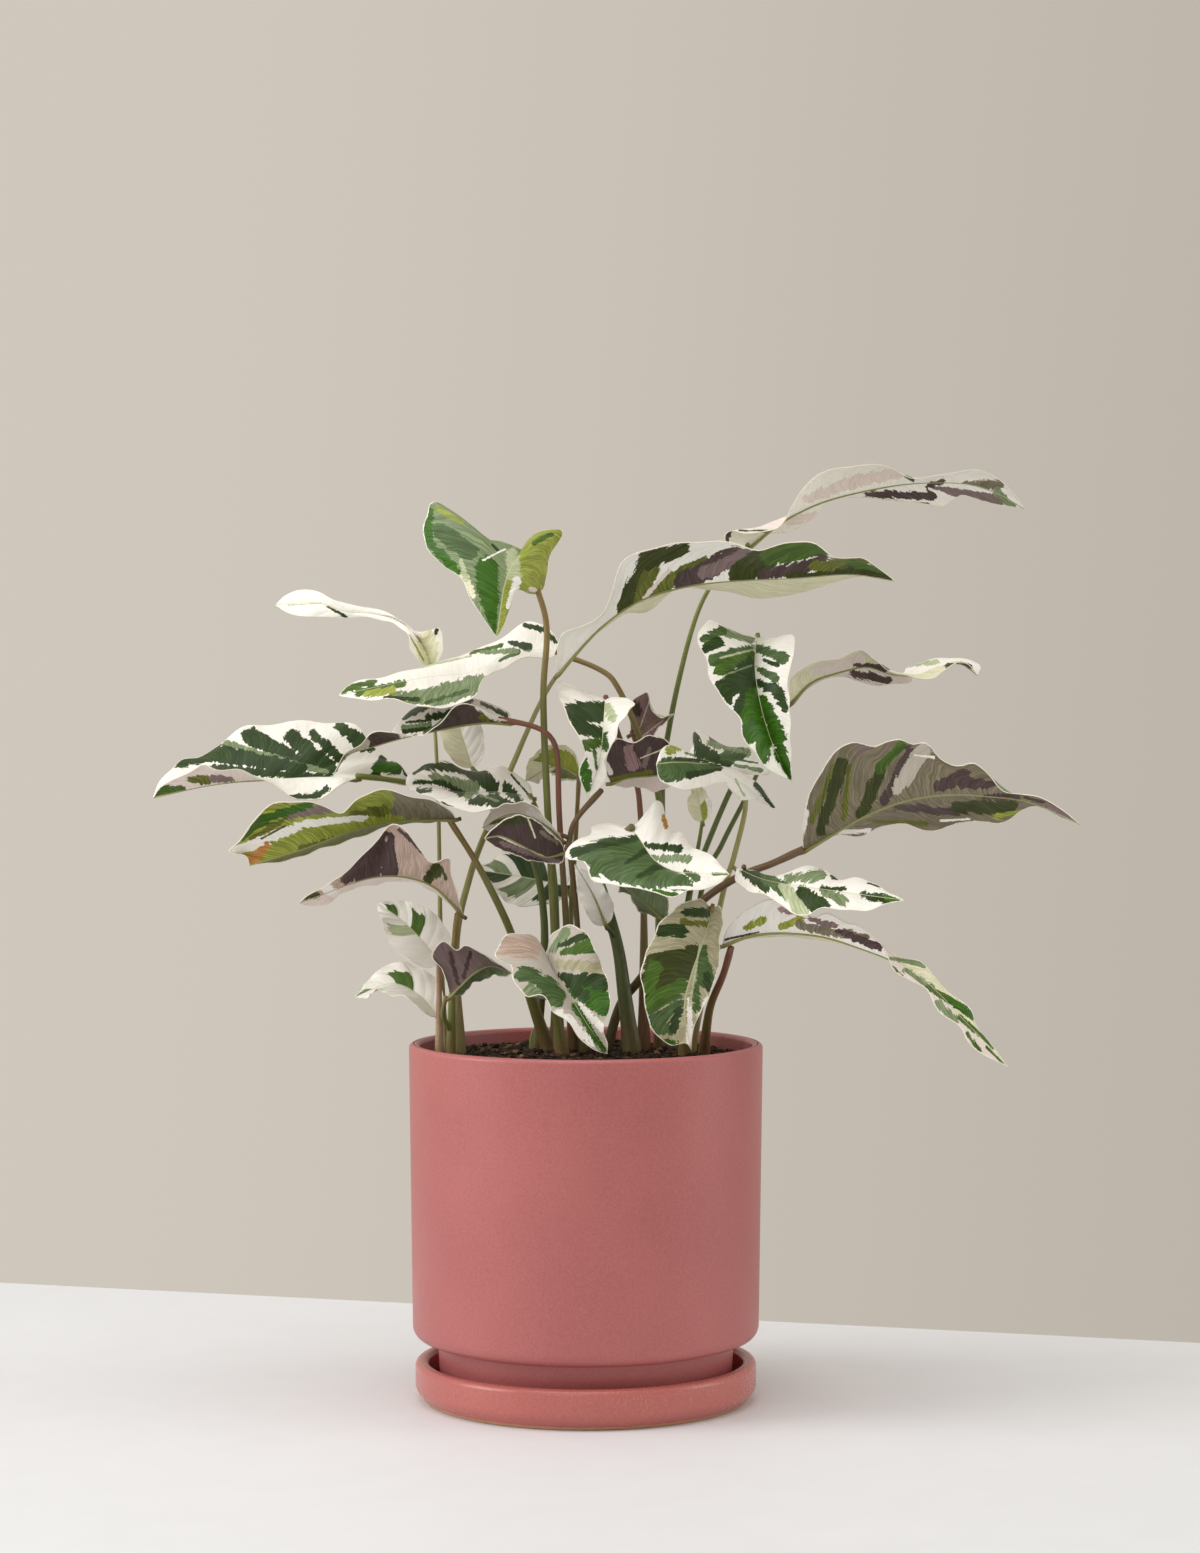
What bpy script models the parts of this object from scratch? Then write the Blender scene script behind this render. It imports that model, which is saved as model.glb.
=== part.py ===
"""Potted calathea: a clump of variegated leaves on thin stems, growing from bark soil in a round
glazed pot that stands in its own saucer.

Metres, +Z up, front towards -Y. The origin is the centre of the saucer's underside, on the surface
that it stands on. Nothing moves: pieces rest on or grow into each other with small clearances.
"""
from math import cos, pi, radians, sin

import bmesh
import bpy
from mathutils import Vector

MM = 0.001

# ---------------------------------------------------------------- driving dimensions, in millimetres
POT_RADIUS = 100.0        # outer radius at the rim
POT_HEIGHT = 195.5        # rim above the underside of the foot
POT_WALL = 6.0
POT_DRAFT = 2.2           # how much narrower the wall is at its foot
POT_SHOULDER = 30.5       # height of the wall's lower edge above the underside of the foot
POT_FLOOR = 7.0
FOOT_DEPTH = 15.6         # how far the foot stands in from the wall's lower edge
FOOT_SLOPE = 3.0          # rise of the underside between the foot and the wall
DRAIN_RADIUS = 9.0

SAUCER_WALL = 7.6
SAUCER_FLOOR = 5.2
SAUCER_HEIGHT = 22.3
SAUCER_REACH = 14.2       # outer radius of the saucer beyond the pot's foot
SAUCER_TUCK = 5.5         # how much narrower the saucer is where it stands

SOIL_BELOW_RIM = 8.5
SOIL_DOME = 1.5           # rise of the soil towards the middle
SOCKET_DEPTH = 16.0       # how deep a stem is planted

CLEAR = 0.3               # gap between pieces that touch
STEM_CLEAR = 0.4          # gap round a planted stem
SEGMENTS = 40             # sides of a turned piece

GROWTH = 1.0              # size of the plant above the soil
LEAF_WIDTH = 1.0          # width of every blade beside its set size
LEAF_THICK = 0.55
STEM_GIRTH = 1.0          # thickness of every stem beside its set size
PLANTING_MARGIN = 9.0     # soil left free between the outermost stem and the pot
PLANTING_SET = 85.0       # planting radius that the stems' places below are set out in
EDGE_HALF = 0.7           # half-width that a blade keeps at its two ends

# ---------------------------------------------------------------- sizes that follow
FOOT_TOP = SAUCER_FLOOR + CLEAR
RIM_Z = FOOT_TOP + POT_HEIGHT
SHOULDER_RADIUS = POT_RADIUS - POT_DRAFT
FOOT_RADIUS = SHOULDER_RADIUS - FOOT_DEPTH
INNER_RIM = POT_RADIUS - POT_WALL
INNER_FLOOR = FOOT_RADIUS - POT_WALL
FLOOR_Z = FOOT_TOP + POT_FLOOR
BELLY_Z = FOOT_TOP + POT_SHOULDER + POT_FLOOR
SAUCER_RADIUS = FOOT_RADIUS + SAUCER_REACH
SOIL_Z = RIM_Z - SOIL_BELOW_RIM
PLANTING_RADIUS = INNER_RIM - PLANTING_MARGIN
SPREAD = PLANTING_RADIUS / PLANTING_SET


# ---------------------------------------------------------------- scene, collections, materials
for old in list(bpy.data.objects):
    bpy.data.objects.remove(old, do_unlink=True)


def collection(name):
    made = bpy.data.collections.new(name)
    bpy.context.scene.collection.children.link(made)
    return made


PARTS = collection("potted_calathea")
CUTTERS = collection("cutters")


def material(name, colour, roughness):
    mat = bpy.data.materials.new(name)
    mat.use_nodes = True
    shader = mat.node_tree.nodes["Principled BSDF"]
    shader.inputs["Base Color"].default_value = (*colour, 1.0)
    shader.inputs["Roughness"].default_value = roughness
    shader.inputs["Metallic"].default_value = 0.0
    mat.diffuse_color = (*colour, 1.0)
    return mat


GLAZE = (0.52, 0.16, 0.15)
SAUCER_GLAZE = (0.56, 0.17, 0.13)
BARK = (0.045, 0.026, 0.018)
GREEN = (0.045, 0.13, 0.035)
CREAM = (0.72, 0.70, 0.58)
PURPLE = (0.13, 0.085, 0.095)
OLIVE = (0.19, 0.20, 0.04)
RUSSET = (0.20, 0.085, 0.04)


def finish(obj, colour, roughness, home=PARTS):
    """Gives a piece its material and collection, and smooths all but its sharp edges."""
    if home is PARTS:
        obj.data.materials.append(material(obj.name, colour, roughness))
        obj.data.shade_smooth()
        obj.data.set_sharp_from_angle(angle=radians(40))
    else:
        obj.hide_render = True
        obj.display_type = "WIRE"
    home.objects.link(obj)
    return obj


# ---------------------------------------------------------------- turned pieces
def rounded(corners, steps=3):
    """Profile points through (radius, height, fillet) corners, with each fillet as a short arc."""
    points = []
    count = len(corners)
    for i, (r, z, fillet) in enumerate(corners):
        here = Vector((r, z))
        if not fillet:
            points.append(here)
            continue
        before = (Vector(corners[i - 1][:2]) - here).normalized()
        after = (Vector(corners[(i + 1) % count][:2]) - here).normalized()
        half = before.angle(after) / 2
        reach = fillet / max(sin(half) / cos(half), 1e-6)
        middle = here + (before + after).normalized() * fillet / sin(half)
        start = here + before * reach - middle
        sweep = pi - 2 * half
        side = 1 if start.x * (here - middle).y - start.y * (here - middle).x > 0 else -1
        for k in range(steps + 1):
            turn = side * sweep * k / steps
            x = start.x * cos(turn) - start.y * sin(turn)
            y = start.x * sin(turn) + start.y * cos(turn)
            points.append(middle + Vector((x, y)))
    return points


def turned(name, profile, closed=True, segments=SEGMENTS):
    """A profile in the XZ plane, run round Z by a Screw modifier."""
    bm = bmesh.new()
    verts = [bm.verts.new((p.x * MM, 0, p.y * MM)) for p in profile]
    for a, b in zip(verts, verts[1:]):
        bm.edges.new((a, b))
    if closed:
        bm.edges.new((verts[-1], verts[0]))
    mesh = bpy.data.meshes.new(name)
    bm.to_mesh(mesh)
    bm.free()
    obj = bpy.data.objects.new(name, mesh)
    screw = obj.modifiers.new("turn", "SCREW")
    screw.steps = segments
    screw.render_steps = segments
    screw.use_merge_vertices = True
    screw.merge_threshold = 0.00001
    screw.use_smooth_shade = True
    poles = obj.modifiers.new("poles", "WELD")
    poles.merge_threshold = 0.00001
    return obj


# Saucer: a shallow dish with a thick rounded wall, a little narrower where it stands.
saucer = turned("saucer", rounded([
    (0, SAUCER_FLOOR, 0),
    (FOOT_RADIUS + 1.0, SAUCER_FLOOR, 0),
    (SAUCER_RADIUS - SAUCER_WALL - 1.0, SAUCER_FLOOR, 2.0),
    (SAUCER_RADIUS - SAUCER_WALL, SAUCER_HEIGHT, SAUCER_WALL * 0.45),
    (SAUCER_RADIUS, SAUCER_HEIGHT, SAUCER_WALL * 0.45),
    (SAUCER_RADIUS, SAUCER_HEIGHT * 0.30, 6.0),
    (SAUCER_RADIUS - SAUCER_TUCK, 0, 0.8),
    (0, 0, 0),
]), closed=False)
finish(saucer, SAUCER_GLAZE, 0.32)

# Pot: a cylinder with a rounded lip, a rounded lower edge and a narrower foot inside the saucer.
# Its floor has a drain hole, so the body is one ring of material all the way round.
pot = turned("pot", rounded([
    (POT_RADIUS, RIM_Z, POT_WALL * 0.42),
    (SHOULDER_RADIUS, FOOT_TOP + POT_SHOULDER, 7.5),
    (FOOT_RADIUS + 1.5, FOOT_TOP + POT_SHOULDER - FOOT_SLOPE, 1.2),
    (FOOT_RADIUS, FOOT_TOP, 1.5),
    (FOOT_RADIUS - POT_WALL * 1.5, FOOT_TOP, 0),
    (DRAIN_RADIUS, FOOT_TOP, 0.8),
    (DRAIN_RADIUS, FLOOR_Z, 0.8),
    (INNER_FLOOR, FLOOR_Z, 4.0),
    (INNER_FLOOR, BELLY_Z - 4.0, 4.0),
    (INNER_RIM - POT_DRAFT, BELLY_Z + 4.0, 4.0),
    (INNER_RIM, RIM_Z, POT_WALL * 0.42),
], steps=2))
finish(pot, GLAZE, 0.5)


# ---------------------------------------------------------------- curves through hand-set points
def smooth_path(points, count):
    """`count` evenly spaced places and directions on a smooth curve through the points."""
    pts = [Vector(p) for p in points]
    ends = [2 * pts[0] - pts[1], *pts, 2 * pts[-1] - pts[-2]]
    fine = [pts[0]]
    for a, b, c, d in zip(ends, ends[1:], ends[2:], ends[3:]):
        for k in range(1, 13):
            u = k / 12
            fine.append(((2 * b) + (c - a) * u + (2 * a - 5 * b + 4 * c - d) * u ** 2
                         + (3 * b - a - 3 * c + d) * u ** 3) / 2)
    run = [0.0]
    for a, b in zip(fine, fine[1:]):
        run.append(run[-1] + (b - a).length)
    places = []
    at = 0
    for k in range(count):
        want = run[-1] * k / (count - 1)
        while at < len(fine) - 2 and run[at + 1] < want:
            at += 1
        share = (want - run[at]) / (run[at + 1] - run[at])
        places.append(fine[at].lerp(fine[at + 1], share))
    heads = [(places[min(i + 1, count - 1)] - places[max(i - 1, 0)]).normalized() for i in range(count)]
    return places, heads, run[-1]


def along(values, t):
    """The value at share t of evenly spaced set values."""
    if len(values) == 1:
        return values[0]
    at = min(int(t * (len(values) - 1)), len(values) - 2)
    share = t * (len(values) - 1) - at
    share = share * share * (3 - 2 * share)
    return values[at] + (values[at + 1] - values[at]) * share


def grown(point):
    """A place set above the soil, at the plant's size and the soil's height."""
    x, y, z = point
    return Vector((x * GROWTH, y * GROWTH, SOIL_Z + SOIL_DOME + z * GROWTH))


# ---------------------------------------------------------------- stems
STEM_SIDES = 1            # bevel resolution: six sides
JOIN_BACK = 2.2           # how far short of a blade's first point its stem ends


def tube(name, points, radii, steps, foot=None):
    """A round tapering tube along a smooth path, as a curve object turned into a closed mesh.

    A foot is a point under the first one, which the tube reaches by a straight stretch.
    """
    places, _, _ = smooth_path(points, steps)
    if foot:
        places = [foot, *places]
    curve = bpy.data.curves.new(name, "CURVE")
    curve.dimensions = "3D"
    curve.bevel_depth = MM
    curve.bevel_resolution = STEM_SIDES
    curve.use_fill_caps = True
    line = curve.splines.new("POLY")
    line.points.add(len(places) - 1)
    for k, place in enumerate(places):
        line.points[k].co = (*(place * MM), 1)
        line.points[k].radius = along(radii, max(k - 1, 0) / (len(places) - 2)) * STEM_GIRTH
    guide = bpy.data.objects.new(name + "_curve", curve)
    bpy.context.scene.collection.objects.link(guide)
    depsgraph = bpy.context.evaluated_depsgraph_get()
    mesh = bpy.data.meshes.new_from_object(guide.evaluated_get(depsgraph))
    bpy.data.objects.remove(guide, do_unlink=True)
    bm = bmesh.new()
    bm.from_mesh(mesh)
    bmesh.ops.remove_doubles(bm, verts=bm.verts, dist=1e-6)
    bmesh.ops.recalc_face_normals(bm, faces=bm.faces)
    bm.to_mesh(mesh)
    bm.free()
    mesh.name = name
    return bpy.data.objects.new(name, mesh)


# Each stem: place in the soil (x, y), the points it rises through (x, y, height above the soil),
# and its radius at the foot and at the top.
STEMS = {
    "a": ((-15, 8), [(-18, 8, 75), (-22, 4, 146), (-24, 2, 203), (-22, 0, 240), (-27, -1, 262),
                     (-36, 0, 285)], (2.8, 2.0, 1.6)),
    "b": ((-80, 16), [(-83, 24, 50), (-85, 32, 146), (-88, 34, 202), (-90, 34, 222)], (1.9, 1.2, 1.0)),
    "c": ((42, 36), [(42, 30, 95), (42, 24, 143), (30, 15, 181), (18, 15, 208), (8, 20, 218),
                     (-17, 22, 228)], (2.6, 2.0, 1.5)),
    "d": ((-6, 21), [(-11, 12, 72), (-15, 2, 135), (-16, -5, 168), (-20, -9, 180), (-30, -9, 186),
                     (-49, -8, 190)], (3.2, 1.7, 1.5)),
    "e": ((-28, 35), [(-24, 33, 72), (-34, 28, 118), (-60, 22, 143), (-98, 16, 153),
                      (-130, 4, 158)], (2.6, 2.0, 1.5)),
    "f": ((-22, 24), [(-32, 16, 33), (-43, 6, 70), (-60, -5, 106), (-77, -12, 134)], (3.6, 2.2, 1.6)),
    "g": ((-18, 34), [(-17, 33, 72), (-21, 28, 118), (-32, 14, 147)], (2.6, 1.8, 1.4)),
    "h": ((-1, 12), [(-5, 8, 75), (-8, 0, 106), (-9, -5, 122), (-5, -7, 134), (9, -4, 150)],
          (3.0, 1.6, 1.6)),
    "k": ((33, 26), [(33, 22, 84), (31, 18, 136), (28, 15, 156), (19, 8, 180), (11, 0, 203)],
          (3.2, 1.7, 1.4)),
    "n": ((-71, 8), [(-74, 11, 61), (-66, 20, 101), (-56, 32, 129), (-42, 34, 164), (-24, 20, 203),
                     (-8, 0, 226)], (2.4, 1.8, 1.2)),
    "o": ((48, 46), [(44, 46, 140), (48, 44, 185), (61, 33, 242), (74, 28, 270), (93, 24, 290)],
          (2.4, 1.7, 1.2)),
    "p": ((50, 27), [(59, 22, 89), (68, 20, 115), (82, 22, 148), (97, 18, 178), (101, 11, 210),
                     (97, 2, 238)], (2.8, 1.6, 1.3)),
    "q": ((57, 38), [(66, 34, 89), (78, 30, 118), (92, 26, 146), (108, 24, 180), (117, 21, 202)],
          (2.4, 1.5, 1.0)),
    "r": ((60, 18), [(77, 10, 87), (84, 6, 112), (91, 15, 141), (87, 10, 156), (81, -8, 166)],
          (2.6, 1.6, 1.3)),
    "s": ((26, 10), [(22, 9, 33), (18, 7, 61), (10, 3, 90), (6, -1, 106), (12, -9, 116),
                     (26, -28, 130)], (4.6, 3.2, 2.0)),
    "u": ((12, 24), [(20, 22, 27), (31, 13, 42), (48, 2, 67), (66, -9, 88), (86, -20, 102),
                     (104, -20, 109), (122, -16, 117)], (2.8, 2.3, 2.0)),
    "v": ((67, 6), [(70, -6, 27), (77, -20, 47), (81, -30, 63)], (2.8, 2.2, 1.8)),
    "w": ((56, -4), [(60, -20, 46), (67, -34, 74), (70, -42, 86)], (3.2, 2.0, 1.5)),
    "x": ((-13, -4), [(-18, -10, 30), (-23, -26, 52), (-24, -36, 57)], (3.0, 1.8, 1.5)),
    "z": ((-76, -10), [(-75, -12, 40), (-74, -13, 62), (-72, -15, 81)], (2.2, 1.8, 1.5)),
    "ac": ((-83, 2), [(-83, 1, 30), (-83, -2, 53)], (2.0, 1.6, 1.3)),
    "ad": ((-8, 44), [(-9, 46, 60), (-8, 47, 92), (-6, 42, 122), (-4, 32, 158)], (2.8, 1.6, 1.2)),
}
# The side stalks of a stem: the height above the soil at which each leaves it, and its other points.
BRANCHES = {
    "e": [(118, [(-48, 42, 141), (-66, 46, 162)], (1.4, 1.1))],
    "h": [(122, [(-14, -10, 125)], (1.4, 1.2)), (122, [(-11, -14, 117)], (1.4, 1.2))],
    "k": [(156, [(29, 22, 172), (26, 27, 183)], (1.4, 1.1))],
    "p": [(89, [(64, 12, 118), (66, 5, 132)], (1.5, 1.1))],
    "s": [(66, [(11, -4, 74)], (2.0, 1.2))],
    "u": [(102, [(88, -32, 108)], (1.8, 1.4)), (67, [(44, 0, 77)], (1.6, 1.2))],
    "z": [(12, [(-80, -18, 24), (-78, -24, 35)], (1.5, 1.2))],
    "ac": [(8, [(-84, 5, 21)], (1.5, 1.1))],
    "ad": [(84, [(-12, 50, 93)], (1.3, 1.1))],
}


def shortened(points):
    """The path without its last JOIN_BACK, where the blade takes over."""
    last, before = points[-1], points[-2]
    return [*points[:-1], last + (before - last).normalized() * (JOIN_BACK + CLEAR)]


def planted(base):
    return base[0] * SPREAD, base[1] * SPREAD


def rise(foot, points):
    """A stem's path from just above the soil at its foot (x, y) to its end."""
    x, y = foot
    return shortened([Vector((x, y, SOIL_Z + SOIL_DOME + 2.0)), *[grown(p) for p in points]])


def place_at(path, height):
    """The first place on a stem's path that is as high above the soil, before growth, or else its end."""
    places, _, _ = smooth_path(path, 80)
    return next((p for p in places if p.z >= grown((0, 0, height)).z), places[-1])


def drift(key, height):
    """How far a stem stands, at a height, from its set place, when the planting spreads beside the plant."""
    base, points, _ = STEMS[key]
    at_set = place_at(rise((base[0] * GROWTH, base[1] * GROWTH), points), height)
    return place_at(rise(planted(base), points), height) - at_set


soil_cuts = []
for key, (base, points, radii) in STEMS.items():
    x, y = planted(base)
    foot = Vector((x, y, SOIL_Z - SOCKET_DEPTH))
    path = rise((x, y), points)
    length = sum((b - a).length for a, b in zip(path, path[1:]))
    stem = tube("stem_" + key, path, radii, max(4, int(length / 20) + 3), foot)
    for k, (height, branch, branch_radii) in enumerate(BRANCHES.get(key, [])):
        branch = shortened([place_at(path, height), *[grown(p) + drift(key, p[2]) for p in branch]])
        arm = tube(f"branch_{key}_{k}", branch, branch_radii, 4)
        finish(arm, OLIVE, 0.5, CUTTERS)
        join = stem.modifiers.new("branch", "BOOLEAN")
        join.operation = "UNION"
        join.object = arm
    soil_cuts.append((x, y, radii[0] * STEM_GIRTH + STEM_CLEAR))
    finish(stem, RUSSET if key in "dhksuw" else OLIVE, 0.45)

# ---------------------------------------------------------------- soil, with a socket for each stem
soil = turned("soil", rounded([
    (0, SOIL_Z + SOIL_DOME, 0),
    (INNER_RIM * 0.55, SOIL_Z + SOIL_DOME * 0.7, 0),
    (INNER_RIM - CLEAR - 0.4, SOIL_Z, 1.0),
    (INNER_RIM - POT_DRAFT - CLEAR - 0.6, BELLY_Z + 6.5, 0),
    (INNER_FLOOR - CLEAR - 0.4, BELLY_Z - 2.0, 0),
    (INNER_FLOOR - CLEAR - 0.4, FLOOR_Z + 5.0, 0),
    (INNER_FLOOR - 5.0, FLOOR_Z + CLEAR, 0),
    (0, FLOOR_Z + CLEAR, 0),
], steps=2), closed=False)
cutter = bmesh.new()
for x, y, radius in soil_cuts:
    made = bmesh.ops.create_cone(cutter, cap_ends=True, segments=12, radius1=radius * MM,
                                 radius2=radius * MM, depth=(SOCKET_DEPTH + 8.0) * MM)
    middle = SOIL_Z - SOCKET_DEPTH - 1.0 + (SOCKET_DEPTH + 8.0) / 2
    bmesh.ops.translate(cutter, verts=made["verts"], vec=(x * MM, y * MM, middle * MM))
socket_mesh = bpy.data.meshes.new("stem_sockets")
cutter.to_mesh(socket_mesh)
cutter.free()
sockets = finish(bpy.data.objects.new("stem_sockets", socket_mesh), BARK, 1.0, CUTTERS)
plant_holes = soil.modifiers.new("sockets", "BOOLEAN")
plant_holes.operation = "DIFFERENCE"
plant_holes.object = sockets
finish(soil, BARK, 0.95)

# A new shoot stands on the soil: a small pointed cone.
shoot = bmesh.new()
bmesh.ops.create_cone(shoot, cap_ends=True, segments=10, radius1=1.6 * MM, radius2=0.4 * MM,
                      depth=10.0 * MM)
bmesh.ops.translate(shoot, verts=shoot.verts,
                    vec=(-31 * SPREAD * MM, 40 * SPREAD * MM, (SOIL_Z + SOIL_DOME + CLEAR + 5.0) * MM))
shoot_mesh = bpy.data.meshes.new("shoot")
shoot.to_mesh(shoot_mesh)
shoot.free()
finish(bpy.data.objects.new("shoot", shoot_mesh), OLIVE, 0.5)


# ---------------------------------------------------------------- leaves
ROWS = 9                  # steps along a blade
SIDE_COLUMNS = 2          # steps from the midrib to a margin
LOBE_SWEEP = -55.0        # how far the veins lean back at the blade's base, in degrees
TIP_SWEEP = 50.0          # and how far they lean forward at its tip


def outline(t, rise, fall):
    """Share of the full half-width at share t along the midrib: a round base and a drawn-out tip."""
    peak = rise / (rise + fall)
    return (t / peak) ** rise * ((1 - t) / (1 - peak)) ** fall


def blade_point(spec, places, heads, t, s):
    """The place at share t along the midrib and s across, from -1 (right margin) to 1 (left margin).

    A half's angle turns about the midrib: 0 points to the front (-Y), and 90 to the side that is
    left of the midrib for someone who looks along it with the front of the plant as its upper side.
    """
    last = len(places) - 1
    at = min(int(t * last), last - 1)
    share = t * last - at
    middle = places[at].lerp(places[at + 1], share)
    ahead = heads[at].lerp(heads[at + 1], share).normalized()
    front = (Vector((0, -1, 0)) + ahead * ahead.y).normalized()
    side = front.cross(ahead)
    half = spec["half"] * LEAF_WIDTH * (spec.get("narrow", 1.0) if s > 0 else 1.0)
    reach = half * GROWTH * outline(t, *spec.get("shape", (0.5, 1.1))) + EDGE_HALF
    across = abs(s)
    curl = along(spec.get("curl", (0,)), t)
    if s >= 0:
        turn = along(spec["left"], t) - curl * across / 2
        beat = spec.get("phase", 0.0)
    else:
        turn = along(spec["right"], t) + curl * across / 2
        beat = spec.get("phase", 0.0) + 1.9
    turn = radians(turn)
    outward = front * cos(turn) + side * sin(turn)
    upward = (ahead.cross(outward) if s < 0 else outward.cross(ahead)).normalized()
    sweep = radians(spec.get("lobe", LOBE_SWEEP) + (TIP_SWEEP - spec.get("lobe", LOBE_SWEEP)) * t ** 0.5)
    spread = outward * cos(sweep) + ahead * sin(sweep)
    lobe_back = ahead * spec.get("heart", 0.0) * GROWTH * across * (1 - t) ** 6
    amount, beats = spec.get("wave", (2.0, 2.0))
    ripple = amount * GROWTH * across ** 2 * sin(2 * pi * beats * t + beat) * max(sin(pi * t), 0) ** 0.5
    return middle + spread * reach * across - lobe_back + upward * ripple


def leaf(name, spec, colour):
    """A blade: a grid laid over the midrib and its two halves, made solid."""
    moved = drift(spec["side_of"], spec["mid"][0][2]) if "side_of" in spec else Vector()
    places, heads, _ = smooth_path([grown(p) + moved for p in spec["mid"]], 25)
    bm = bmesh.new()
    bmesh.ops.create_grid(bm, x_segments=2 * SIDE_COLUMNS, y_segments=ROWS, size=1.0)
    for vert in bm.verts:
        t = (1 - cos(pi * (1 + vert.co.y) / 2)) / 2
        vert.co = blade_point(spec, places, heads, min(max(t, 0.0), 1.0), -vert.co.x) * MM
    mesh = bpy.data.meshes.new(name)
    bm.to_mesh(mesh)
    bm.free()
    obj = bpy.data.objects.new(name, mesh)
    skin = obj.modifiers.new("thickness", "SOLIDIFY")
    skin.thickness = LEAF_THICK * MM
    skin.offset = 0.0
    return finish(obj, colour, 0.4)


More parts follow.
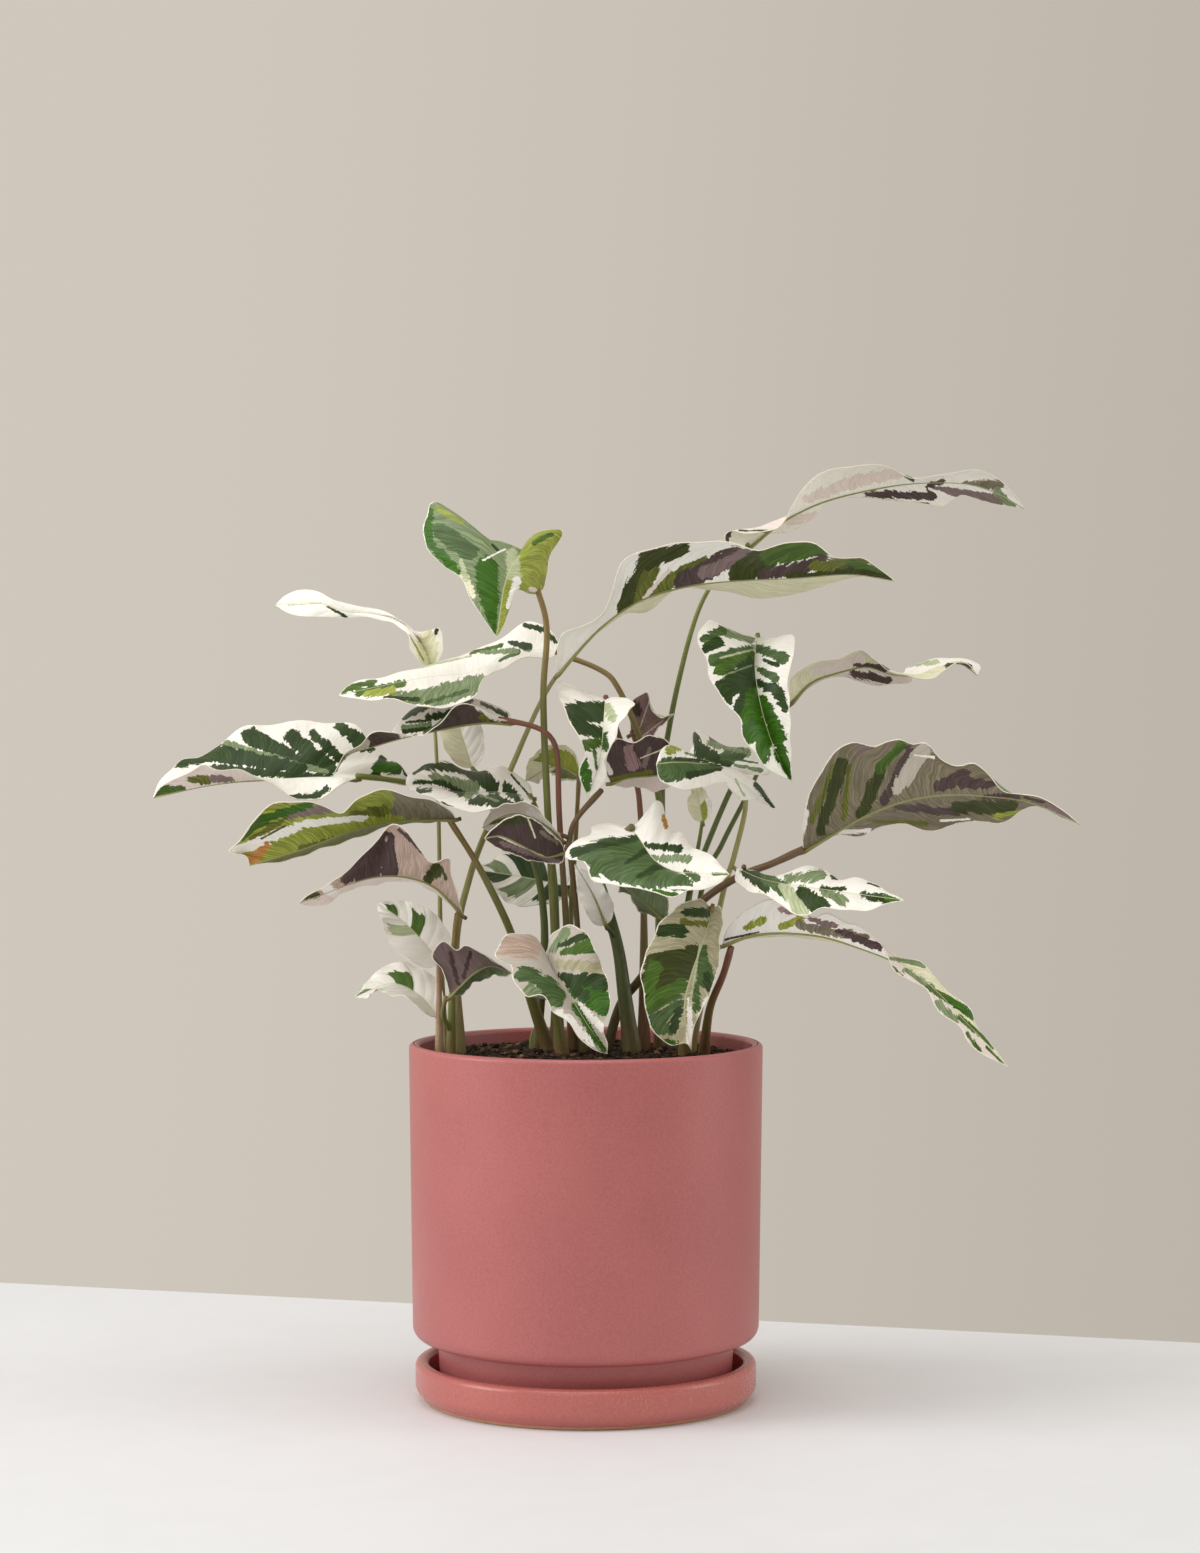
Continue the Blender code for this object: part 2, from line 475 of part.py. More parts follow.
# Each blade: its midrib from base to tip, its full half-width, the angles of its left and right
# halves at even steps along it, and how far its halves curl, lean back or ripple. A blade on a low
# side stalk names the stem that it follows.
LEAVES = {
    "a": (GREEN, dict(mid=[(-37, -3, 287), (-44, -20, 281), (-50, -36, 265), (-50, -50, 241)], half=48,
                      left=(45, 55, 65), right=(-95, -90, -75), narrow=0.65, shape=(0.6, 2.4),
                      lobe=-35)),
    "b": (CREAM, dict(mid=[(-90, 34, 222), (-101, 38, 240), (-125, 44, 252), (-155, 52, 257),
                           (-184, 60, 259)], half=12, left=(85, 10, 40, 75), right=(-85, -165, -140, -80),
                      lobe=10)),
    "c": (CREAM, dict(mid=[(-17, 22, 228), (-37, 20, 236), (-77, 8, 223), (-105, 0, 214),
                           (-140, -10, 205)], half=20, left=(75, 55, 60), right=(-150, -150, -140))),
    "d": (GREEN, dict(mid=[(-49, -8, 190), (-66, -10, 188), (-88, -12, 185), (-110, -14, 179),
                           (-128, -16, 173), (-143, -18, 162)], half=23, left=(-50, -60, -30, 40),
                      right=(-120, -130, -150, -120), lobe=-20)),
    "e": (GREEN, dict(mid=[(-130, 4, 159), (-162, 0, 161), (-201, -8, 156), (-243, -18, 148)], half=37,
                      left=(20, 20, 30), right=(-120, -122, -115))),
    "f": (OLIVE, dict(mid=[(-77, -12, 134), (-104, -18, 133), (-138, -26, 128), (-165, -32, 120),
                           (-192, -40, 111)], half=31, left=(-50, -60, -65), right=(165, 165, 150),
                      shape=(0.5, 0.9))),
    "g": (GREEN, dict(mid=[(-32, 14, 147), (-60, 10, 149), (-83, 8, 154), (-105, 6, 156)], half=24,
                      left=(40, 40, 50), right=(-140, -140, -130))),
    "h": (CREAM, dict(mid=[(-14, -10, 125), (-25, -13, 138), (-41, -15, 144), (-57, -16, 134)], half=12,
                      left=(-50, -50, -40), right=(140, 140, 150), lobe=0)),
    "i": (PURPLE, dict(mid=[(-11, -14, 117), (-26, -24, 116), (-42, -32, 120), (-56, -38, 126)], half=24,
                       left=(-60, -60, -50), right=(130, 140, 140), lobe=-40)),
    "j": (PURPLE, dict(mid=[(9, -4, 150), (20, 0, 156), (40, 3, 159), (60, 6, 162)], half=29,
                       narrow=0.3, left=(-165, -165, -165), right=(85, 80, 75), lobe=-25)),
    "k": (GREEN, dict(mid=[(11, 0, 203), (9, -14, 187), (6, -22, 167), (5, -25, 149)], half=30,
                      narrow=0.85, left=(50, 45, 50), right=(-80, -80, -60), shape=(0.5, 1.7),
                      lobe=-35)),
    "m": (PURPLE, dict(mid=[(26, 27, 183), (34, 29, 190), (50, 31, 195)], half=16,
                       left=(-130, -140), right=(75, 70))),
    "n": (PURPLE, dict(mid=[(-8, 0, 226), (12, -2, 247), (40, -4, 261), (90, -8, 270), (135, -14, 273),
                            (172, -20, 272)], half=31, left=(-150, -160, -165), right=(65, 62, 50),
                       shape=(0.8, 0.95), lobe=10)),
    "o": (CREAM, dict(mid=[(93, 24, 290), (122, 32, 308), (169, 42, 322), (216, 50, 328),
                           (253, 56, 314)], half=20, left=(170, 170, 200, 200, 190),
                      right=(75, 72, 65, 45, 15, 28, 35), shape=(0.9, 0.8), lobe=-20)),
    "p": (GREEN, dict(mid=[(97, 2, 238), (97, -12, 214), (100, -22, 191), (107, -28, 174),
                           (116, -30, 157)], half=36, narrow=0.75, left=(50, 45, 50),
                      right=(-80, -85, -80), shape=(0.5, 1.2), lobe=-40)),
    "q": (CREAM, dict(mid=[(117, 21, 202), (144, 30, 220), (191, 40, 217), (215, 44, 222),
                           (226, 44, 217)], half=15, left=(-165, -160, -165), right=(45, 40, 40),
                      shape=(0.6, 0.8), lobe=0)),
    "r": (GREEN, dict(mid=[(81, -8, 166), (69, -18, 167), (55, -30, 166), (45, -42, 159)], half=30,
                      left=(75, 30, 25), right=(-135, -138, -125), shape=(0.45, 0.7), lobe=-65,
                      heart=14)),
    "s": (GREEN, dict(mid=[(26, -28, 130), (37, -40, 115), (53, -49, 105), (81, -56, 105)], half=42,
                      left=(140, 145, 150), right=(-65, -55, -55), lobe=-60, heart=7)),
    "t": (GREEN, dict(mid=[(88, -32, 108), (115, -48, 102), (147, -60, 95), (175, -68, 91)], half=19,
                      left=(150, 155, 155), right=(-45, -45, -50))),
    "u": (PURPLE, dict(mid=[(122, -16, 117), (139, -22, 132), (168, -30, 143), (207, -38, 149),
                            (249, -46, 143), (282, -52, 128)], half=36, left=(-160, -165, -170),
                       right=(80, 75, 55, 25, 40), shape=(0.42, 1.1), lobe=0)),
    "v": (CREAM, dict(mid=[(81, -30, 63), (109, -40, 71), (153, -52, 64), (197, -62, 43),
                           (233, -68, 0)], half=21, left=(-150, -160, -195, -240),
                      right=(60, 45, -10, -60), shape=(0.5, 0.6))),
    "w": (GREEN, dict(mid=[(70, -42, 86), (63, -53, 60), (58, -60, 38), (59, -61, 13)], half=34,
                      narrow=0.6, left=(40, 40, 60), right=(-85, -85, -75), shape=(0.5, 0.8),
                      lobe=-15)),
    "x": (GREEN, dict(mid=[(-24, -36, 57), (-13, -48, 43), (0, -58, 27), (12, -64, 12)], half=32,
                      left=(80, 75, 70), right=(-85, -80, -70), lobe=-60, heart=7)),
    "y": (PURPLE, dict(mid=[(-78, -24, 35), (-67, -27, 45), (-54, -27, 49), (-43, -24, 51)], half=22,
                       left=(-150, -150), right=(70, 65), lobe=-25, side_of="z")),
    "z": (PURPLE, dict(mid=[(-72, -15, 81), (-86, -19, 94), (-110, -26, 102), (-138, -32, 95),
                            (-163, -36, 88)], half=34, left=(-65, -60, -50),
                       right=(-150, -190, -210), shape=(0.55, 1.2))),
    "aa": (CREAM, dict(mid=[(-83, -2, 53), (-94, 2, 66), (-106, 7, 77), (-119, 12, 85)], half=16,
                       left=(60, 60), right=(-100, -100), lobe=-20)),
    "ac": (CREAM, dict(mid=[(-84, 5, 21), (-95, 10, 33), (-111, 16, 39), (-132, 20, 31)], half=15,
                       left=(30, 30), right=(-100, -110), lobe=10, side_of="ac")),
    "ad": (GREEN, dict(mid=[(-12, 50, 93), (-37, 53, 98), (-63, 55, 102)], half=22,
                       left=(45, 45), right=(-130, -130), lobe=-20)),
    "ae": (CREAM, dict(mid=[(11, -4, 74), (4, -7, 91), (-6, -9, 108)], half=9,
                       left=(-80, -80), right=(70, 70), lobe=0)),
    "af": (CREAM, dict(mid=[(44, 0, 77), (31, -1, 88), (19, -4, 97)], half=14, narrow=1.0,
                       left=(-70, -70), right=(160, 160), lobe=0)),
    "ah": (CREAM, dict(mid=[(-66, 46, 162), (-73, 48, 184), (-80, 48, 207)], half=13,
                       left=(80, 80), right=(-80, -80), lobe=0)),
    "ai": (OLIVE, dict(mid=[(-4, 32, 158), (-18, 38, 163), (-35, 42, 154)], half=14,
                       left=(-60, -60), right=(150, 150), lobe=0)),
    "ak": (CREAM, dict(mid=[(66, 5, 132), (64, 3, 143), (62, 0, 154)], half=7,
                       left=(80, 80), right=(-80, -80), lobe=0)),
}
for key, (colour, spec) in LEAVES.items():
    leaf("leaf_" + key, spec, colour)
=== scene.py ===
from math import cos, pi, radians, sin

import bpy
import numpy as np
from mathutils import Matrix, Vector


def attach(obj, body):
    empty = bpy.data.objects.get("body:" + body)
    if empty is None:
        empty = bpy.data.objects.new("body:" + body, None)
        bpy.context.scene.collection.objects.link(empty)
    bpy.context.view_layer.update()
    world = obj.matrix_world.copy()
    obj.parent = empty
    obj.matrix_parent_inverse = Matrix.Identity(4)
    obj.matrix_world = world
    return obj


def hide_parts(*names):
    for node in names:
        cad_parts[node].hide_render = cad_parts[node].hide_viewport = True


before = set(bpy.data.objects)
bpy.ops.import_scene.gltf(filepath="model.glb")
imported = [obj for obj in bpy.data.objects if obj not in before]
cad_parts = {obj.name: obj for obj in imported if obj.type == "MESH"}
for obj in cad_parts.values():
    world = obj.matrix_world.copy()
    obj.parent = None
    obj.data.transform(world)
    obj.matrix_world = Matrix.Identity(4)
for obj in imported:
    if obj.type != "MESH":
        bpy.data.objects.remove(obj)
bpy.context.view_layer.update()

MM = 0.001

# ================================================================ studio
# A still-life table in front of a plain wall: the eye is nearly level with the crown of the plant,
# a large soft lamp stands at the left, a wide one hangs above, and two weak ones lift the shadows.
LENS, EYE, LOOK_DOWN = 78.8, (0.008, -1.92, 0.387), 1.06

camera_data = bpy.data.cameras.new("camera")
camera_data.lens = LENS
camera_data.sensor_width = 36.0
camera = bpy.data.objects.new("camera", camera_data)
camera.location = EYE
camera.rotation_euler = (radians(90 - LOOK_DOWN), 0, 0)
bpy.context.scene.collection.objects.link(camera)
bpy.context.scene.camera = camera
bpy.context.scene.view_settings.view_transform = "Standard"


def paint(red, green, blue):
    """A colour given in screen values from 0 to 255, as the linear light that shaders take."""
    return tuple(c / 12.92 if c < 0.04045 else ((c + 0.055) / 1.055) ** 2.4
                 for c in (red / 255, green / 255, blue / 255))


class Wire:
    """A socket of a node tree. Arithmetic on it adds Math nodes to the tree."""

    def __init__(self, tree, socket=None):
        self.tree, self.socket = tree, socket

    def node(self, kind, settings=None, sockets=None, out=0):
        """Adds a node: its settings first, then the values or links of its sockets."""
        made = self.tree.nodes.new("ShaderNode" + kind)
        for key, value in (settings or {}).items():
            if key == "stops":
                ramp = made.color_ramp
                while len(ramp.elements) < len(value):
                    ramp.elements.new(1.0)
                for element, (place, colour) in zip(ramp.elements, value):
                    element.position, element.color = place, colour
            else:
                setattr(made, key, value)
        for key, value in (sockets or {}).items():
            if isinstance(value, Wire):
                self.tree.links.new(value.socket, made.inputs[key])
            else:
                made.inputs[key].default_value = value
        return Wire(self.tree, made.outputs[out])

    def sum(self, operation, *values):
        return self.node("Math", {"operation": operation}, dict(enumerate(values)))

    def __add__(self, other):
        return self.sum("ADD", self, other)

    def __sub__(self, other):
        return self.sum("SUBTRACT", self, other)

    def __rsub__(self, other):
        return self.sum("SUBTRACT", other, self)

    def __mul__(self, other):
        return self.sum("MULTIPLY", self, other)

    def __pow__(self, other):
        return self.sum("POWER", self, other)

    __radd__, __rmul__ = __add__, __mul__

    def size(self):
        return self.sum("ABSOLUTE", self)

    def sine(self):
        return self.sum("SINE", self)

    def step(self, low, high):
        """0 below low, 1 above high and smooth between; the other way round if low is the larger."""
        return self.node("MapRange", {"interpolation_type": "SMOOTHSTEP"}, {0: self, 1: low, 2: high})

    def blend(self, first, second, how="MIX"):
        """first where this is 0, second where it is 1: colours."""
        first, second = [c if isinstance(c, Wire) else (*c[:3], 1.0) for c in (first, second)]
        return self.node("Mix", {"data_type": "RGBA", "blend_type": how}, {0: self, 6: first, 7: second}, 2)

    def vector(self, x, y, z):
        return self.node("CombineXYZ", None, {0: x, 1: y, 2: z})

    def triple(self):
        """The three outputs of the node that this comes from."""
        return [Wire(self.tree, self.socket.node.outputs[k]) for k in range(3)]

    def parts(self):
        return self.node("SeparateXYZ", None, {0: self}).triple()

    def noise(self, where, scale, detail=2.0, rough=0.5):
        return self.node("TexNoise", None, {"Vector": where, "Scale": scale, "Detail": detail,
                                            "Roughness": rough})

    def place(self):
        return self.node("TexCoord", out=3)

    def bump(self, height, depth, strength=1.0):
        """The normal of a surface with this height, from 0 to 1, over a depth in metres."""
        return self.node("Bump", None, {"Height": height, "Distance": depth, "Strength": strength})


world = bpy.data.worlds.new("wall")
bpy.context.scene.world = world
world.use_nodes = True
wall = Wire(world.node_tree)
wall_x, wall_y, wall_z = wall.node("TexCoord", out=0).parts()
wall_shade = (wall_x * 2.6 - wall_z * 0.25 + 0.42).step(0.0, 1.0)
world.node_tree.links.new(
    wall_shade.blend(paint(207, 199, 188), paint(189, 181, 170)).socket,
    world.node_tree.nodes["Background"].inputs["Color"])


def lamp(name, place, aim, width, height, watts, colour=(1, 1, 1)):
    data = bpy.data.lights.new(name, "AREA")
    data.shape, data.size, data.size_y, data.energy, data.color = "RECTANGLE", width, height, watts, colour
    made = bpy.data.objects.new(name, data)
    made.location = place
    made.rotation_euler = (Vector(aim) - Vector(place)).to_track_quat("-Z", "Y").to_euler()
    bpy.context.scene.collection.objects.link(made)


lamp("softbox_left", (-2.1, -0.55, 1.15), (0, 0, 0.3), 1.2, 1.5, 26)
lamp("softbox_above", (-0.2, -0.5, 2.4), (0, 0, 0.2), 1.6, 1.6, 20)
lamp("reflector_right", (2.1, -0.1, 0.8), (0, 0, 0.2), 0.9, 1.5, 9)
lamp("front_fill", (-0.6, -2.6, 1.6), (0, 0, 0.3), 1.2, 1.0, 4)


def surface(name):
    """A new material: its first wire and its shader."""
    made = bpy.data.materials.new(name)
    made.use_nodes = True
    return made, Wire(made.node_tree), made.node_tree.nodes["Principled BSDF"]


def dress(made, shader, colour, roughness, normal=None, **plain):
    """Sets a shader's sockets: links where a value varies, plain numbers elsewhere."""
    for key, value in {"Base Color": colour, "Roughness": roughness, "Normal": normal, **plain}.items():
        if isinstance(value, Wire):
            made.node_tree.links.new(value.socket, shader.inputs[key])
        elif value is not None:
            shader.inputs[key].default_value = value
    return made


def alone():
    bpy.ops.object.select_all(action="DESELECT")


TABLE_SIZE, TABLE_PLACE, TABLE_TURN, TABLE_THICK = 3.2, (0.40, -1.505, -0.0002), -15.9, 0.03

alone()
bpy.ops.mesh.primitive_plane_add(size=TABLE_SIZE, location=TABLE_PLACE, rotation=(0, 0, radians(TABLE_TURN)))
table_top = bpy.context.object
table_top.name = "table_top"
bpy.ops.object.transform_apply(location=True, rotation=True, scale=True)
slab = table_top.modifiers.new("slab", "SOLIDIFY")
slab.thickness, slab.offset = TABLE_THICK, -1.0
bpy.ops.object.modifier_apply(modifier="slab")
lacquer, wire, shader = surface("table_lacquer")
grain = wire.noise(wire.place(), 30.0, 3.0)
table_top.data.materials.append(dress(
    lacquer, shader, (grain - 0.5).step(-0.4, 0.4).blend(paint(229, 232, 236), paint(226, 229, 233)), 0.6))


# ================================================================ pot
# A slip-cast stoneware cylinder with a rounded lip and a recessed foot, in a satin rose glaze.
# Its foot has a drain hole and stands inside the saucer's wall.
FOOT_TOP, RIM_Z = 5.5, 201.0
POT_RADIUS, POT_WALL, POT_DRAFT = 100.0, 6.0, 2.2
SHOULDER_RADIUS, SHOULDER_Z = 97.8, 36.0
FOOT_RADIUS, INNER_FLOOR, INNER_RIM = 82.2, 76.2, 94.0
FLOOR_Z, BELLY_Z, DRAIN_RADIUS = 12.5, 43.0, 9.0


def rounded(corners, steps=8):
    """Profile points through (radius, height, fillet) corners, with each fillet as a short arc."""
    points = []
    count = len(corners)
    for i, (r, z, fillet) in enumerate(corners):
        here = Vector((r, z))
        if not fillet:
            points.append(here)
            continue
        before = (Vector(corners[i - 1][:2]) - here).normalized()
        after = (Vector(corners[(i + 1) % count][:2]) - here).normalized()
        half = before.angle(after) / 2
        middle = here + (before + after).normalized() * fillet / sin(half)
        start = here + before * fillet * cos(half) / sin(half) - middle
        side = 1 if start.x * (here - middle).y - start.y * (here - middle).x > 0 else -1
        for k in range(steps + 1):
            turn = side * (pi - 2 * half) * k / steps
            points.append(middle + Vector((start.x * cos(turn) - start.y * sin(turn),
                                           start.x * sin(turn) + start.y * cos(turn))))
    return points


def thrown(name, profile, sides=144):
    """A turned piece: a ring at the first profile point, extruded and resized from point to point."""
    profile = [Vector((max(p.x, 0.02), p.y)) * MM for p in profile]
    alone()
    bpy.ops.mesh.primitive_circle_add(vertices=sides, radius=profile[0].x, location=(0, 0, profile[0].y))
    made = bpy.context.object
    made.name = made.data.name = name
    bpy.ops.object.transform_apply(location=True)
    bpy.ops.object.mode_set(mode="EDIT")
    for here, there in zip(profile, profile[1:]):
        bpy.ops.mesh.extrude_region_move(TRANSFORM_OT_translate={"value": (0, 0, there.y - here.y)})
        share = there.x / here.x
        bpy.ops.transform.resize(value=(share, share, 1), center_override=(0, 0, there.y))
    bpy.ops.mesh.select_all(action="SELECT")
    bpy.ops.mesh.remove_doubles(threshold=0.00003)
    bpy.ops.mesh.normals_make_consistent(inside=False)
    bpy.ops.object.mode_set(mode="OBJECT")
    bpy.ops.object.shade_smooth_by_angle(angle=radians(35))
    return made


def settle(piece, node):
    """A finished piece stands for its CAD node and rides with the pot."""
    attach(piece, "root")
    if node:
        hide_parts(*([node] if isinstance(node, str) else node))
    return piece


pot = thrown("glazed_pot", rounded([
    (POT_RADIUS, RIM_Z, POT_WALL * 0.42),
    (SHOULDER_RADIUS, SHOULDER_Z, 7.5),
    (FOOT_RADIUS + 1.5, SHOULDER_Z - 3.0, 1.2),
    (FOOT_RADIUS, FOOT_TOP, 1.5),
    (FOOT_RADIUS - POT_WALL * 1.5, FOOT_TOP, 0),
    (DRAIN_RADIUS, FOOT_TOP, 0.8),
    (DRAIN_RADIUS, FLOOR_Z, 0.8),
    (INNER_FLOOR, FLOOR_Z, 4.0),
    (INNER_FLOOR, BELLY_Z - 4.0, 4.0),
    (INNER_RIM - POT_DRAFT, BELLY_Z + 4.0, 4.0),
    (INNER_RIM, RIM_Z, POT_WALL * 0.42),
    (POT_RADIUS - 3.0, RIM_Z, 0),
]))


def glaze(name, body, warm, sheen):
    """Satin glaze: cloudy tone, a fine grain of pin specks and a faint ripple from the dipping."""
    made, wire, shader = surface(name)
    where = wire.place()
    _, _, z = where.parts()
    cloud = wire.noise(where, 14.0, 3.0)
    grain = wire.noise(where, 900.0, 2.0)
    speck = wire.noise(where, 2300.0, 1.0)
    tone = cloud.step(0.3, 0.7).blend(body, warm)
    tone = (speck.step(0.66, 0.74) * 0.22).blend(tone, (0.30, 0.08, 0.07))
    tone = (grain.step(0.25, 0.75) * 0.10).blend(tone, (0.85, 0.45, 0.42))
    bare = (z * 1000 + (wire.noise(where, 120.0) - 0.5) * 1.2).step(1.9, 1.3)
    tone = bare.blend(tone, paint(196, 152, 118))
    rough = sheen + (cloud - 0.5) * 0.06 + (grain - 0.5) * 0.08 + bare * 0.35
    height = wire.noise(where, 40.0, 2.0) * 0.7 + grain * 0.3
    return dress(made, shader, tone, rough, wire.bump(height, 0.00025, 0.5), **{"Specular IOR Level": 0.5})


pot.data.materials.append(glaze("satin_rose_glaze", (0.405, 0.108, 0.108), (0.44, 0.122, 0.118), 0.40))
settle(pot, "pot")

# ================================================================ saucer
# A cast stoneware dish in the same rose, fired a little warmer and glossier, with a thick rounded
# wall. The ring that it stands on is wiped bare, so a buff line shows at the table.
SAUCER_RADIUS, SAUCER_WALL, SAUCER_HEIGHT, SAUCER_FLOOR, SAUCER_TUCK = 96.4, 7.6, 22.3, 5.2, 5.5

saucer = thrown("saucer_dish", rounded([
    (0, SAUCER_FLOOR, 0),
    (FOOT_RADIUS + 1.0, SAUCER_FLOOR, 0),
    (SAUCER_RADIUS - SAUCER_WALL - 1.0, SAUCER_FLOOR, 2.0),
    (SAUCER_RADIUS - SAUCER_WALL, SAUCER_HEIGHT, SAUCER_WALL * 0.45),
    (SAUCER_RADIUS, SAUCER_HEIGHT, SAUCER_WALL * 0.45),
    (SAUCER_RADIUS, SAUCER_HEIGHT * 0.30, 6.0),
    (SAUCER_RADIUS - SAUCER_TUCK, 0, 0.8),
    (0, 0, 0),
]))
saucer.data.materials.append(glaze("gloss_rose_glaze", (0.45, 0.120, 0.105), (0.49, 0.135, 0.115), 0.26))
settle(saucer, "saucer")

# ================================================================ potting mix
# Peat and bark, gently domed and lumpy, with loose crumbs and a few pale flecks lying on it.
SOIL_Z, SOIL_TOP = 192.5, 194.0
BED, LUMPS, CRUMBS = 92, 420, 1700

rings = [(INNER_RIM - 0.7) * (1 - k / 40) for k in range(41)]
soil = thrown("soil_bed", [
    Vector((INNER_FLOOR - 5.0, FLOOR_Z + 0.3)),
    Vector((INNER_FLOOR - 0.7, FLOOR_Z + 5.0)),
    Vector((INNER_FLOOR - 0.7, BELLY_Z - 2.0)),
    Vector((INNER_RIM - POT_DRAFT - 0.9, BELLY_Z + 6.5)),
    *[Vector((r, SOIL_Z + 1.5 * (1 - (r / INNER_RIM) ** 2))) for r in rings],
], sides=120)
bpy.ops.object.mode_set(mode="EDIT")
bpy.ops.mesh.select_all(action="SELECT")
bpy.ops.mesh.fill_holes(sides=0)
bpy.ops.object.mode_set(mode="OBJECT")
chance = np.random.default_rng(11)
lumps = [(chance.uniform(-BED, BED), chance.uniform(-BED, BED),
          chance.uniform(2.5, 8.0), chance.uniform(-1.4, 1.6)) for _ in range(LUMPS)]
places = np.zeros(len(soil.data.vertices) * 3)
soil.data.vertices.foreach_get("co", places)
places = places.reshape(-1, 3) / MM
top = (places[:, 2] > SOIL_Z - 0.5) & (np.hypot(places[:, 0], places[:, 1]) < INNER_RIM - 1.5)
for x, y, reach, rise in lumps:
    away = np.hypot(places[:, 0] - x, places[:, 1] - y) / reach
    places[:, 2] += np.where(top, rise * np.exp(-away ** 2 * 2), 0)
places[:, 2] = np.clip(places[:, 2], None, RIM_Z - 3.5)
soil.data.vertices.foreach_set("co", (places * MM).ravel())
soil.data.update()

alone()
bpy.ops.mesh.primitive_ico_sphere_add(subdivisions=1, radius=1.0)
crumb = bpy.context.object
crumb_points = np.array([v.co for v in crumb.data.vertices])
crumb_faces = np.array([list(f.vertices) for f in crumb.data.polygons])
bpy.data.objects.remove(crumb)
all_points, all_faces = [], []
for k in range(CRUMBS):
    radius = 91.5 * chance.uniform() ** 0.5
    round_angle = chance.uniform(0, 2 * pi)
    long_side = chance.choice([1.0, 1.5, 2.2, 3.4], p=[0.42, 0.33, 0.18, 0.07]) * chance.uniform(0.8, 1.3)
    sizes = np.array([long_side, long_side * chance.uniform(0.4, 0.9), long_side * chance.uniform(0.25, 0.6)])
    rough = crumb_points * (1 + chance.uniform(-0.28, 0.28, (len(crumb_points), 1))) * sizes
    spin, tip = chance.uniform(0, 2 * pi), chance.uniform(-0.6, 0.6)
    turn_z = np.array([[cos(spin), -sin(spin), 0], [sin(spin), cos(spin), 0], [0, 0, 1]])
    turn_x = np.array([[1, 0, 0], [0, cos(tip), -sin(tip)], [0, sin(tip), cos(tip)]])
    radius = min(radius, 92.5 - long_side * 1.25)
    centre = [radius * cos(round_angle), radius * sin(round_angle),
              SOIL_Z + 1.5 * (1 - (radius / INNER_RIM) ** 2) + chance.uniform(0.0, 1.3)]
    all_faces.append(crumb_faces + len(crumb_points) * k)
    all_points.append(rough @ turn_x.T @ turn_z.T + centre)
crumb_mesh = bpy.data.meshes.new("bark_crumbs")
crumb_mesh.from_pydata(np.concatenate(all_points) * MM, [], np.concatenate(all_faces).tolist())
crumbs = bpy.data.objects.new("bark_crumbs", crumb_mesh)
bpy.context.scene.collection.objects.link(crumbs)


def bark(name, dark, light, scale):
    """Peat: near-black brown, lighter by bits, rough and dull."""
    made, wire, shader = surface(name)
    where = wire.place()
    bits = wire.node("TexVoronoi", None, {"Vector": where, "Scale": scale}, 1)
    bit_x, bit_y, _ = bits.parts()
    grain = wire.noise(where, 1800.0, 3.0, 0.7)
    tone = (bit_x ** 2).blend(dark, light)
    tone = (bit_y.step(0.90, 0.96) * 0.75).blend(tone, (0.30, 0.20, 0.11))
    tone = grain.step(0.2, 0.8).blend(tone, (1.0, 0.9, 0.8), "MULTIPLY")
    return dress(made, shader, tone, 0.9, wire.bump(grain, 0.0006), **{"Specular IOR Level": 0.3})


soil.data.materials.append(bark("moist_peat", (0.012, 0.007, 0.005), (0.05, 0.03, 0.02), 420.0))
crumbs.data.materials.append(bark("bark_bits", (0.020, 0.012, 0.009), (0.12, 0.065, 0.038), 260.0))
settle(soil, "soil")
settle(crumbs, None)

